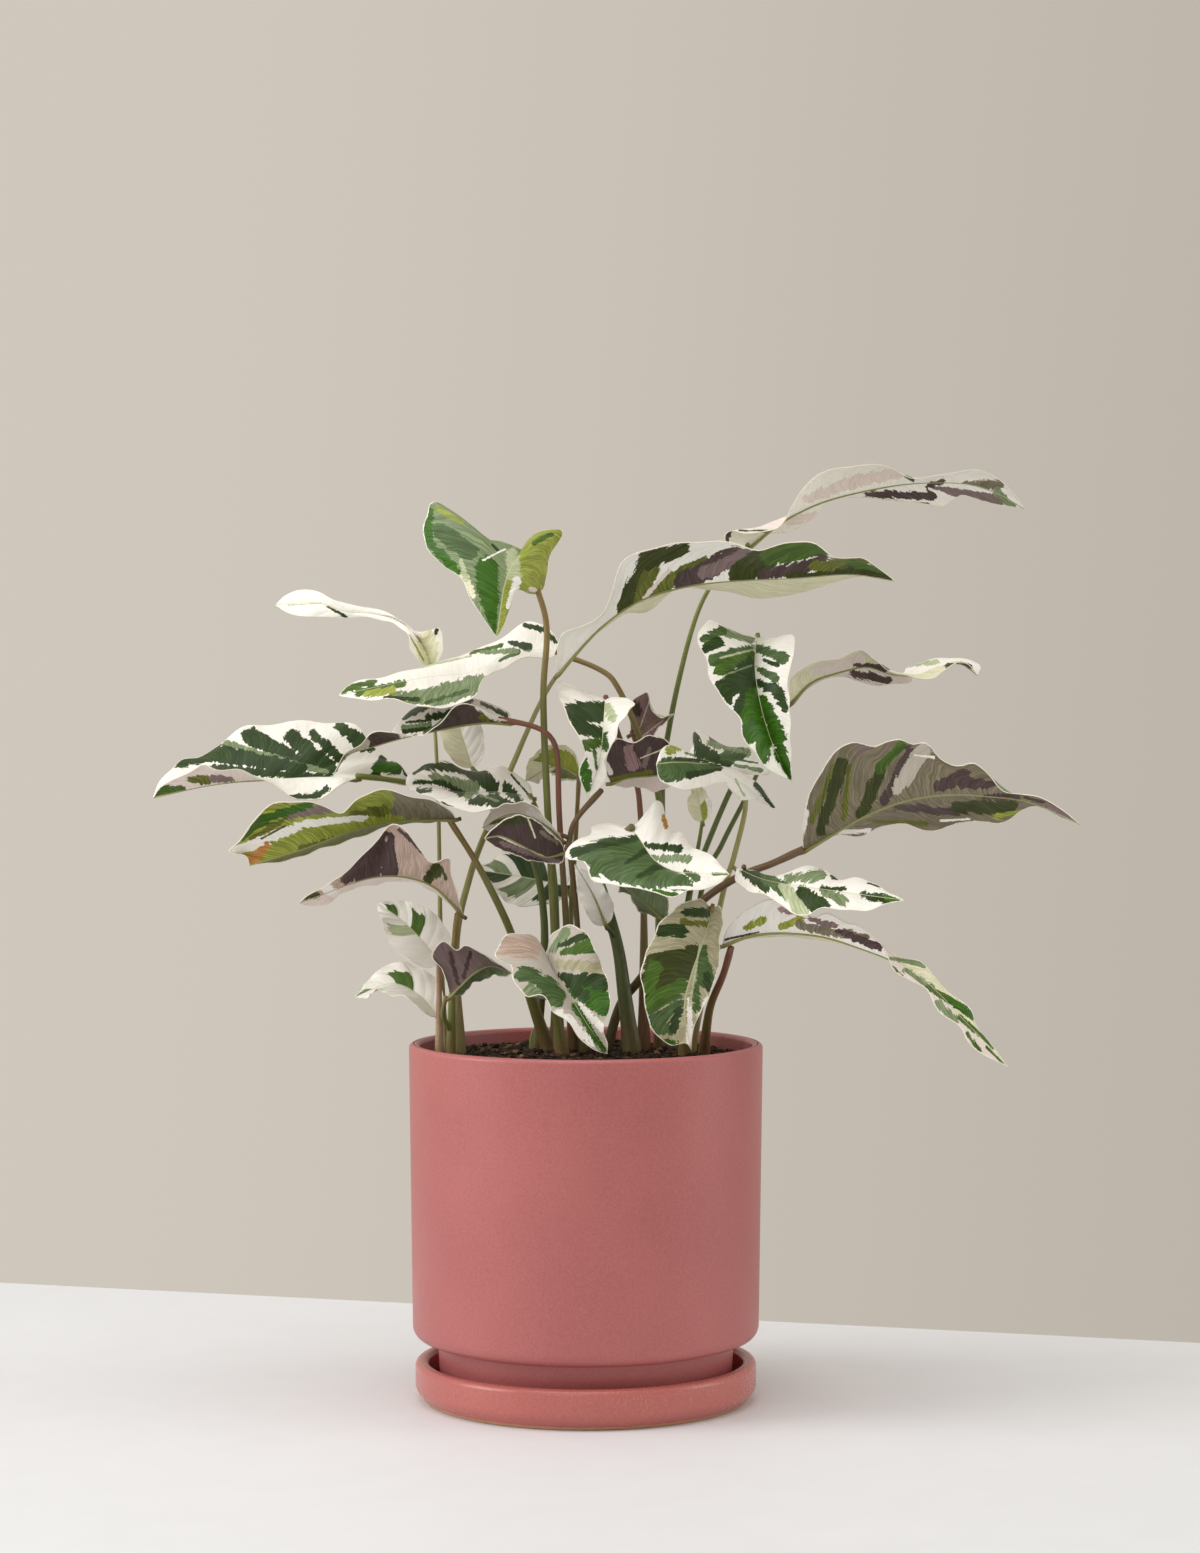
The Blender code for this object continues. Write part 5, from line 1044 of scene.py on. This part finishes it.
# How each blade is marked. Bands of its left and right halves, from base to tip: the share of the
# midrib at which each ends, its colour, and its reach towards the margin. Strokes: x and height of
# both ends, both half-widths, the colour, and the half that they lie on (l, r, or b for both).
MARKS = {
    "a": dict(**ground("y", "G"), ridges=8, strokes=[
        (-88, 306, -87, 287, 2.8, 2.3, "B", "r"), (-86, 287, -77, 278, 2.3, 2.3, "B", "r"),
        (-76, 276, -70, 271, 2.8, 1.7, "B", "r"), (-83, 308, -69, 300, 1.7, 1.1, "Y", "r"),
        (-55, 274, -53, 256, 6.2, 5.6, "B", "b"), (-53, 256, -50, 238, 5.1, 1.1, "B", "b"),
        (-81, 295, -65, 283, 4.5, 5.1, "H", "r"), (-67, 269, -62, 258, 2.3, 1.7, "C", "b"),
        (-69, 278, -66, 267, 1.1, 1.7, "L", "b"), (-41, 283, -40, 270, 3.4, 4.0, "L", "b"),
        (-38, 267, -43, 252, 2.3, 1.1, "W", "b"), (-52, 287, -48, 283, 0.7, 0.7, "D", "b"),
        (-45, 285, -57, 278, 0.5, 0.5, "W", "r"), (-29, 289, -20, 294, 1.4, 1.7, "p", "l"),
        (-23, 261, -31, 263, 1.1, 1.1, "w", "l")]),
    "b": dict(**ground("W", "W"), strokes=[
        (-139, 249, -150, 255, 1.0, 0.7, "D", "b"), (-154, 257, -173, 256, 0.4, 0.4, "L", "b"),
        (-91, 221, -91, 235, 5.0, 5.6, "C", "b"), (-93, 223, -101, 238, 0.5, 0.3, "Y", "b"),
        (-85, 242, -86, 239, 1.2, 0.9, "D", "b")]),
    "c": dict(**ground("W", "W"), strokes=[
        (-35, 244, -24, 241, 1.4, 2.0, "D", "b"), (-23, 240, -17, 234, 1.7, 1.0, "D", "b"),
        (-44, 234, -33, 231, 1.0, 2.7, "D", "b"), (-39, 228, -49, 223, 2.0, 0.7, "H", "b"),
        (-49, 232, -66, 228, 1.4, 1.0, "M", "b"), (-40, 229, -60, 228, 1.7, 1.0, "G", "b"),
        (-66, 226, -97, 219, 0.6, 0.7, "L", "b"), (-60, 210, -83, 203, 5.4, 6.1, "G", "l"),
        (-83, 203, -106, 202, 5.4, 3.4, "G", "l"), (-66, 206, -89, 199, 1.0, 1.0, "H", "l"),
        (-120, 211, -137, 206, 2.0, 2.0, "M", "b"), (-103, 210, -127, 205, 2.0, 2.7, "M", "b"),
        (-109, 206, -123, 204, 2.7, 2.0, "Y", "b"), (-94, 201, -112, 202, 1.4, 1.4, "D", "l")]),
    "d": dict(**ground("v", "W"), strokes=[
        (-59, 197, -45, 189, 2.7, 2.7, "w", "l"), (-58, 191, -55, 188, 1.7, 1.4, "o", "l"),
        (-93, 183, -102, 181, 2.0, 2.0, "w", "l"), (-45, 192, -59, 199, 1.4, 1.0, "D", "r"),
        (-66, 200, -90, 199, 2.0, 3.1, "D", "r"), (-90, 199, -103, 191, 3.4, 1.7, "D", "r"),
        (-73, 193, -88, 191, 2.7, 2.0, "D", "r"), (-90, 189, -101, 188, 0.9, 0.9, "D", "r"),
        (-88, 186, -102, 185, 2.0, 2.0, "G", "r"), (-82, 185, -102, 183, 1.0, 1.4, "D", "r"),
        (-124, 176, -141, 171, 3.4, 3.4, "G", "b"), (-142, 169, -141, 162, 2.0, 1.4, "D", "b")]),
    "e": dict(**ground("W", "W"), ridges=10, strokes=[
        (-126, 175, -142, 186, 4.9, 2.8, "D", "r"), (-120, 158, -116, 168, 3.5, 2.1, "D", "r"),
        (-140, 168, -157, 182, 2.8, 2.1, "D", "r"), (-146, 162, -167, 180, 4.9, 4.2, "D", "r"),
        (-152, 162, -191, 180, 2.8, 4.9, "D", "r"), (-147, 160, -204, 176, 1.4, 2.1, "G", "r"),
        (-161, 162, -209, 171, 3.5, 4.9, "D", "r"), (-209, 171, -228, 165, 4.9, 2.8, "D", "r"),
        (-146, 157, -209, 162, 1.8, 2.8, "D", "r"), (-145, 151, -153, 146, 2.1, 2.1, "D", "l"),
        (-153, 146, -167, 146, 2.1, 1.8, "D", "l"), (-211, 156, -219, 156, 2.5, 2.5, "o", "l"),
        (-198, 156, -207, 157, 1.4, 2.8, "p", "l"), (-225, 151, -239, 149, 2.1, 4.2, "m", "l"),
        (-119, 162, -108, 162, 2.8, 3.5, "B", "r"), (-104, 162, -99, 154, 2.1, 1.4, "D", "r")]),
    "f": dict(**ground("y", "o"), strokes=[
        (-78, 137, -103, 143, 5.8, 7.8, "n", "l"), (-111, 145, -133, 138, 5.2, 3.2, "y", "l"),
        (-113, 139, -129, 137, 3.2, 1.9, "o", "l"), (-141, 141, -163, 137, 2.6, 2.6, "p", "l"),
        (-152, 143, -179, 134, 1.9, 3.2, "b", "l"), (-179, 133, -189, 125, 2.6, 1.9, "m", "l"),
        (-166, 135, -184, 124, 1.6, 1.6, "o", "l"), (-122, 135, -155, 132, 1.3, 2.6, "w", "l"),
        (-155, 132, -179, 121, 2.6, 4.5, "w", "l"), (-179, 121, -196, 117, 3.9, 1.9, "w", "l"),
        (-179, 124, -166, 131, 0.5, 0.5, "v", "l"), (-133, 129, -158, 124, 2.6, 4.5, "y", "l"),
        (-158, 123, -173, 118, 4.5, 3.9, "y", "l"), (-125, 126, -158, 118, 1.9, 1.9, "o", "l"),
        (-176, 120, -186, 111, 1.9, 3.9, "t", "l")]),
    "g": dict(**ground("W", "W"), strokes=[
        (-74, 162, -91, 163, 2.5, 2.1, "D", "b"), (-93, 163, -98, 159, 1.8, 1.1, "D", "b"),
        (-72, 161, -61, 158, 2.1, 4.2, "D", "b"), (-61, 157, -53, 151, 4.9, 3.5, "D", "b"),
        (-88, 157, -66, 150, 2.1, 4.9, "G", "b"), (-97, 154, -83, 154, 1.1, 1.4, "D", "b"),
        (-83, 154, -70, 148, 1.8, 1.4, "D", "b"), (-94, 150, -87, 150, 1.4, 1.4, "D", "b"),
        (-43, 158, -31, 145, 0.6, 0.6, "D", "b"), (-45, 151, -38, 144, 2.8, 2.1, "D", "b"),
        (-63, 144, -51, 145, 2.1, 3.5, "D", "b"), (-51, 144, -40, 142, 3.5, 1.4, "D", "b"),
        (-80, 143, -66, 137, 1.1, 0.7, "D", "b"), (-59, 147, -49, 144, 0.6, 0.6, "G", "b")]),
    "h": dict(**ground("r", "r"), strokes=[
        (-55, 132, -41, 134, 1.4, 1.4, "o", "r"), (-31, 138, -17, 129, 2.0, 2.0, "w", "l")]),
    "i": dict(**ground("v", "v"), strokes=[
        (-45, 133, -36, 134, 1.7, 2.3, "e", "l"), (-32, 135, -28, 124, 0.4, 0.4, "c", "l"),
        (-48, 125, -23, 113, 0.5, 0.5, "c", "b"), (-46, 121, -16, 110, 1.4, 1.7, "p", "r"),
        (-25, 127, -16, 121, 1.1, 1.1, "n", "l")]),
    "j": dict(**ground("r", "v"), strokes=[
        (24, 173, 27, 164, 2.8, 3.4, "q", "r"), (36, 173, 33, 164, 1.1, 1.7, "p", "r"),
        (15, 156, 37, 160, 1.4, 1.4, "o", "r"), (49, 175, 31, 168, 0.5, 0.3, "c", "r"),
        (14, 160, 11, 166, 1.7, 1.1, "w", "r")]),
    "k": dict(**ground("W", "W"), strokes=[
        (-7, 194, 7, 194, 5.6, 6.4, "D", "r"), (-4, 186, 8, 182, 4.2, 3.5, "D", "r"),
        (0, 175, 7, 177, 3.5, 2.8, "M", "r"), (-2, 169, 0, 160, 2.1, 3.5, "B", "r"),
        (0, 160, 1, 151, 3.5, 2.1, "B", "r"), (5, 172, 6, 162, 1.1, 0.7, "M", "r"),
        (12, 197, 15, 191, 2.1, 2.8, "L", "l"), (10, 181, 11, 174, 2.1, 2.1, "H", "l")]),
    "m": dict(**ground("q", "q"), strokes=[
        (27, 198, 30, 194, 2.8, 2.3, "v", "b"), (29, 179, 37, 203, 0.3, 0.3, "c", "b"),
        (31, 179, 44, 189, 0.3, 0.3, "c", "b"), (39, 194, 49, 191, 0.8, 0.5, "c", "b")]),
    "n": dict(**ground("c", "w"), lean=0.16, strokes=[
        (22, 253, 35, 277, 4.4, 6.1, "e", "r"), (30, 256, 39, 279, 3.5, 4.4, "o", "r"),
        (35, 279, 58, 286, 5.3, 2.6, "e", "r"), (39, 261, 64, 279, 4.4, 4.4, "o", "r"),
        (33, 258, 48, 275, 1.1, 1.1, "r", "r"), (48, 275, 67, 285, 1.1, 3.5, "w", "r"),
        (61, 286, 83, 286, 3.5, 3.5, "w", "r"), (54, 266, 83, 281, 5.3, 5.3, "v", "r"),
        (67, 272, 89, 281, 3.5, 3.5, "p", "r"), (87, 271, 103, 282, 7.0, 7.0, "e", "r"),
        (103, 282, 134, 285, 6.1, 4.4, "m", "r"), (98, 270, 131, 277, 2.6, 4.4, "v", "r"),
        (128, 275, 153, 275, 3.5, 5.3, "o", "r"), (114, 270, 148, 272, 1.8, 1.8, "e", "r"),
        (148, 276, 167, 271, 3.5, 2.6, "m", "r"), (148, 273, 170, 269, 1.8, 1.8, "e", "r")]),
    "o": dict(**ground("w", "w"), strokes=[
        (163, 320, 201, 319, 1.8, 2.6, "v", "l"), (160, 317, 198, 314, 1.1, 1.1, "v", "l"),
        (201, 324, 238, 316, 1.1, 4.4, "p", "b"), (218, 326, 238, 325, 1.5, 2.9, "n", "r"),
        (238, 321, 248, 313, 2.2, 1.5, "g", "b"), (206, 327, 198, 325, 1.5, 1.5, "v", "b"),
        (179, 332, 189, 327, 0.7, 0.7, "D", "b"), (126, 316, 157, 327, 2.2, 3.7, "r", "r"),
        (157, 327, 180, 331, 2.9, 2.9, "r", "r"), (81, 297, 80, 290, 1.8, 1.1, "D", "b"),
        (87, 297, 103, 297, 0.5, 0.5, "D", "b"), (117, 303, 132, 307, 2.9, 2.2, "r", "l")]),
    "p": dict(**ground("W", "W"), ridges=11, strokes=[
        (93, 234, 76, 239, 2.1, 2.8, "G", "r"), (76, 239, 67, 235, 2.8, 2.8, "H", "r"),
        (74, 233, 67, 229, 3.4, 2.8, "D", "r"), (93, 230, 72, 223, 2.1, 4.1, "H", "r"),
        (93, 226, 76, 218, 2.8, 4.8, "M", "r"), (94, 222, 76, 209, 3.4, 4.1, "D", "r"),
        (94, 216, 78, 205, 4.8, 4.1, "D", "r"), (77, 205, 80, 199, 3.4, 1.4, "D", "r"),
        (94, 208, 87, 195, 5.5, 5.5, "D", "r"), (95, 202, 90, 181, 6.2, 5.5, "B", "r"),
        (100, 185, 98, 168, 6.9, 3.4, "B", "r"), (107, 171, 114, 157, 2.8, 1.4, "B", "b"),
        (94, 229, 75, 224, 0.5, 0.5, "L", "r"), (93, 220, 76, 214, 0.5, 0.5, "G", "r"),
        (96, 230, 110, 224, 2.1, 3.4, "H", "l"), (100, 223, 107, 220, 1.0, 1.4, "D", "l"),
        (97, 218, 105, 213, 1.4, 2.8, "H", "l"), (96, 210, 106, 206, 2.1, 3.4, "D", "l"),
        (106, 206, 111, 196, 3.4, 2.1, "D", "l"), (98, 199, 108, 181, 4.1, 4.1, "B", "l"),
        (104, 184, 112, 164, 3.4, 2.1, "B", "l")]),
    "q": dict(**ground("r", "c"), strokes=[
        (131, 217, 157, 224, 2.9, 3.7, "r", "r"), (154, 221, 172, 219, 1.1, 2.2, "v", "r"),
        (154, 216, 174, 212, 2.2, 2.6, "v", "l"), (183, 221, 203, 223, 1.8, 1.5, "L", "l"),
        (209, 220, 221, 220, 2.6, 1.8, "v", "b")]),
    "r": dict(**ground("W", "W"), strokes=[
        (75, 163, 46, 162, 1.9, 7.1, "H", "b"), (76, 162, 58, 159, 0.6, 2.3, "D", "b"),
        (75, 166, 50, 168, 0.6, 1.1, "D", "b"), (47, 173, 52, 174, 2.6, 1.9, "Y", "b"),
        (56, 171, 72, 166, 0.7, 0.7, "G", "r"), (61, 181, 64, 171, 1.9, 3.2, "D", "r"),
        (65, 172, 80, 165, 3.9, 2.6, "D", "r"), (71, 177, 91, 171, 2.6, 2.6, "G", "r"),
        (71, 179, 89, 173, 1.0, 1.0, "H", "r"), (78, 169, 88, 169, 2.6, 1.9, "H", "r"),
        (84, 164, 99, 161, 1.0, 1.3, "G", "b"), (86, 167, 97, 165, 0.6, 0.6, "H", "b"),
        (71, 151, 77, 149, 1.6, 1.3, "v", "b"), (96, 153, 106, 140, 1.9, 1.0, "D", "b"),
        (84, 156, 89, 147, 0.6, 0.8, "L", "b")]),
    "s": dict(**ground("W", "W"), strokes=[
        (0, 115, 30, 118, 5.1, 8.5, "H", "r"), (6, 108, 35, 106, 4.5, 8.5, "H", "r"),
        (35, 106, 55, 100, 7.9, 4.0, "H", "r"), (-6, 117, 15, 123, 2.8, 2.3, "D", "r"),
        (15, 122, 30, 124, 1.7, 1.7, "D", "r"), (22, 111, 33, 117, 0.7, 1.7, "D", "r"),
        (30, 104, 44, 111, 1.7, 2.3, "D", "r"), (38, 96, 50, 94, 1.7, 1.1, "B", "r"),
        (8, 105, 12, 101, 0.7, 1.4, "W", "r"), (57, 98, 45, 98, 1.1, 0.6, "W", "r"),
        (33, 120, 52, 118, 1.4, 2.3, "D", "l"), (37, 113, 57, 113, 1.7, 2.3, "G", "l"),
        (55, 106, 61, 103, 1.1, 2.3, "H", "b"), (70, 105, 78, 105, 0.8, 0.5, "M", "b"),
        (44, 135, 45, 129, 1.7, 1.1, "T", "l")]),
    "t": dict(**ground("W", "W"), strokes=[
        (88, 105, 98, 100, 2.0, 4.7, "D", "b"), (100, 102, 109, 96, 3.4, 4.1, "H", "b"),
        (112, 102, 130, 104, 2.0, 2.7, "G", "l"), (109, 98, 118, 88, 2.7, 5.4, "L", "r"),
        (119, 95, 126, 89, 3.4, 5.4, "D", "b"), (126, 89, 132, 88, 3.4, 1.4, "D", "b"),
        (131, 96, 140, 91, 2.7, 2.7, "G", "b"), (130, 97, 142, 97, 1.0, 1.0, "D", "b"),
        (152, 94, 164, 92, 2.0, 2.7, "D", "b"), (164, 93, 171, 91, 1.7, 0.7, "M", "b"),
        (136, 103, 139, 102, 1.0, 0.7, "D", "b"), (155, 100, 162, 98, 0.5, 0.5, "D", "b")]),
    "u": dict(**ground("n", "n"), ridges=12, lean=0.18, strokes=[
        (126, 133, 138, 163, 1.4, 2.7, "o", "r"), (131, 127, 142, 164, 2.8, 4.5, "e", "r"),
        (144, 135, 146, 164, 2.0, 1.7, "o", "r"), (148, 138, 155, 168, 1.7, 4.0, "n", "r"),
        (154, 137, 164, 163, 3.4, 2.8, "e", "r"), (163, 163, 174, 176, 2.8, 2.3, "m", "r"),
        (166, 144, 179, 172, 2.3, 2.8, "v", "r"), (173, 151, 186, 172, 3.4, 4.5, "a", "r"),
        (196, 153, 208, 158, 3.4, 4.5, "v", "r"), (208, 155, 224, 154, 3.4, 2.3, "v", "r"),
        (182, 170, 192, 169, 0.7, 0.7, "w", "r"), (158, 176, 151, 172, 1.7, 1.7, "p", "r"),
        (120, 122, 122, 138, 1.1, 2.3, "w", "r"), (158, 133, 191, 131, 1.0, 1.4, "o", "l"),
        (174, 141, 207, 138, 2.3, 2.3, "v", "l"), (207, 141, 235, 141, 3.4, 4.5, "e", "l"),
        (141, 126, 160, 127, 1.1, 1.4, "w", "l"), (229, 136, 242, 139, 1.7, 1.1, "y", "l"),
        (199, 133, 214, 134, 0.6, 0.6, "w", "l"), (221, 147, 238, 147, 1.7, 1.7, "v", "b"),
        (242, 147, 257, 143, 0.8, 0.8, "D", "b"), (254, 143, 273, 132, 1.7, 1.1, "M", "b")]),
    "v": dict(**ground("c", "w"), strokes=[
        (89, 74, 98, 79, 1.7, 2.8, "y", "r"), (108, 75, 118, 80, 1.7, 2.3, "y", "r"),
        (108, 85, 119, 83, 1.7, 1.7, "q", "r"), (118, 76, 153, 70, 2.3, 2.8, "n", "r"),
        (138, 74, 161, 65, 1.7, 2.3, "v", "r"), (124, 80, 137, 76, 1.7, 1.7, "p", "r"),
        (76, 67, 96, 72, 0.6, 0.5, "v", "r"), (167, 59, 186, 55, 0.8, 1.7, "G", "b"),
        (167, 55, 175, 47, 1.1, 1.1, "M", "b"), (175, 53, 192, 41, 1.4, 1.7, "G", "b"),
        (186, 44, 200, 36, 1.1, 2.3, "M", "b"), (200, 36, 212, 28, 2.3, 2.8, "B", "b"),
        (192, 35, 202, 26, 2.3, 2.3, "G", "b"), (205, 27, 223, 11, 1.7, 1.1, "M", "b"),
        (208, 19, 215, 9, 1.1, 1.1, "M", "b"), (219, 11, 230, 0, 0.8, 0.5, "M", "b")]),
    "w": dict(**ground("J", "J"), ridges=7, strokes=[
        (55, 84, 66, 83, 1.9, 3.2, "D", "r"), (41, 74, 52, 74, 3.2, 3.9, "D", "r"),
        (53, 79, 67, 77, 1.6, 1.9, "O", "r"), (60, 63, 39, 55, 3.2, 7.1, "E", "r"),
        (57, 55, 38, 45, 6.5, 9.7, "E", "r"), (52, 44, 36, 34, 4.5, 5.2, "M", "r"),
        (38, 55, 34, 44, 3.9, 3.9, "M", "r"), (52, 35, 39, 26, 2.6, 5.2, "H", "r"),
        (46, 21, 40, 21, 3.9, 3.2, "H", "r"), (51, 31, 48, 22, 2.6, 3.2, "D", "r"),
        (44, 14, 49, 13, 1.9, 1.9, "B", "r"), (64, 63, 66, 47, 3.2, 5.2, "H", "l"),
        (71, 77, 70, 58, 3.2, 2.6, "J", "l"), (67, 36, 63, 28, 1.9, 1.9, "W", "l"),
        (57, 36, 57, 13, 1.3, 1.9, "W", "b"), (61, 44, 61, 32, 1.9, 2.6, "H", "l"),
        (66, 50, 68, 42, 1.9, 1.9, "D", "l"), (63, 66, 57, 33, 0.5, 0.5, "L", "b")]),
    "x": dict(**ground("A", "A"), ridges=8, strokes=[
        (-34, 50, -27, 48, 4.4, 3.7, "H", "r"), (-22, 44, -16, 38, 5.1, 5.1, "H", "r"),
        (-30, 42, -27, 41, 3.7, 2.2, "G", "r"), (-47, 66, -30, 64, 5.1, 5.9, "F", "r"),
        (-14, 29, 4, 14, 2.9, 2.2, "W", "b"), (-18, 62, -11, 72, 1.5, 2.9, "G", "l"),
        (-14, 65, -1, 70, 1.5, 2.2, "D", "l"), (-13, 61, 3, 65, 1.5, 4.4, "M", "l"),
        (-15, 55, 7, 53, 2.2, 3.7, "J", "l"), (-13, 48, 7, 44, 2.2, 5.9, "D", "l"),
        (-6, 41, 10, 34, 3.7, 6.6, "B", "l"), (-8, 44, 0, 38, 2.9, 2.9, "D", "l"),
        (-3, 33, 9, 21, 1.5, 2.2, "W", "l"), (-6, 33, 10, 9, 1.8, 1.6, "B", "b")]),
    "y": dict(**ground("A", "p"), strokes=[
        (-75, 60, -71, 42, 1.1, 1.1, "v", "r"), (-64, 60, -68, 46, 1.1, 1.1, "v", "r"),
        (-56, 57, -61, 51, 1.1, 1.1, "n", "r")]),
    "z": dict(**ground("f", "r"), strokes=[
        (-111, 127, -122, 105, 2.0, 8.1, "v", "l"), (-133, 101, -114, 116, 2.7, 8.1, "v", "l"),
        (-108, 125, -109, 105, 2.0, 4.7, "v", "l"), (-88, 100, -83, 106, 2.7, 4.1, "e", "l"),
        (-80, 107, -78, 101, 0.7, 1.1, "e", "l"), (-103, 129, -94, 121, 0.9, 1.4, "D", "l"),
        (-99, 127, -92, 117, 0.6, 0.6, "D", "l"), (-92, 117, -85, 112, 0.7, 0.7, "D", "l"),
        (-155, 93, -150, 93, 2.7, 2.7, "e", "b"), (-144, 97, -140, 93, 3.4, 2.7, "w", "b")]),
    "aa": dict(left=[(0.4, "W", 1.3), (0.55, "L", 0.8), (1, "W", 1.3)],
              right=[(0.35, "W", 1.3), (0.5, "M", 0.7), (0.7, "W", 1.3), (0.85, "M", 0.7), (1, "W", 1.3)]),
    "ac": dict(left=[(1, "W", 1.3)], right=[(0.35, "W", 1.3), (0.55, "M", 0.6), (0.8, "W", 1.3), (1, "G", 0.6)]),
    "ad": dict(left=[(0.2, "D", 0.8), (0.3, "W", 1.3), (0.5, "G", 0.8), (0.6, "W", 1.3), (1, "D", 0.8)],
              right=[(0.2, "W", 1.3), (0.5, "D", 0.85), (0.6, "W", 1.3), (0.8, "G", 0.9), (1, "W", 1.3)]),
    "ae": dict(**ground("R", "R")),
    "af": dict(left=[(1, "A", 0.9)], right=[(1, "A", 0.9)], edge="C"),
    "ah": dict(**ground("C", "W")),
    "ai": dict(left=[(0.5, "Y", 0.8), (1, "C", 1.3)],
              right=[(0.4, "O", 0.8), (1, "C", 1.3)], edge="C"),
    "ak": dict(left=[(1, "C", 1.3)], right=[(0.4, "Y", 0.6), (1, "C", 1.3)]),
}


for key, (slot, spec) in BLADES.items():
    leaf = blade(key, spec, MARKS[key])
    settle(leaf, "leaf_" + key)
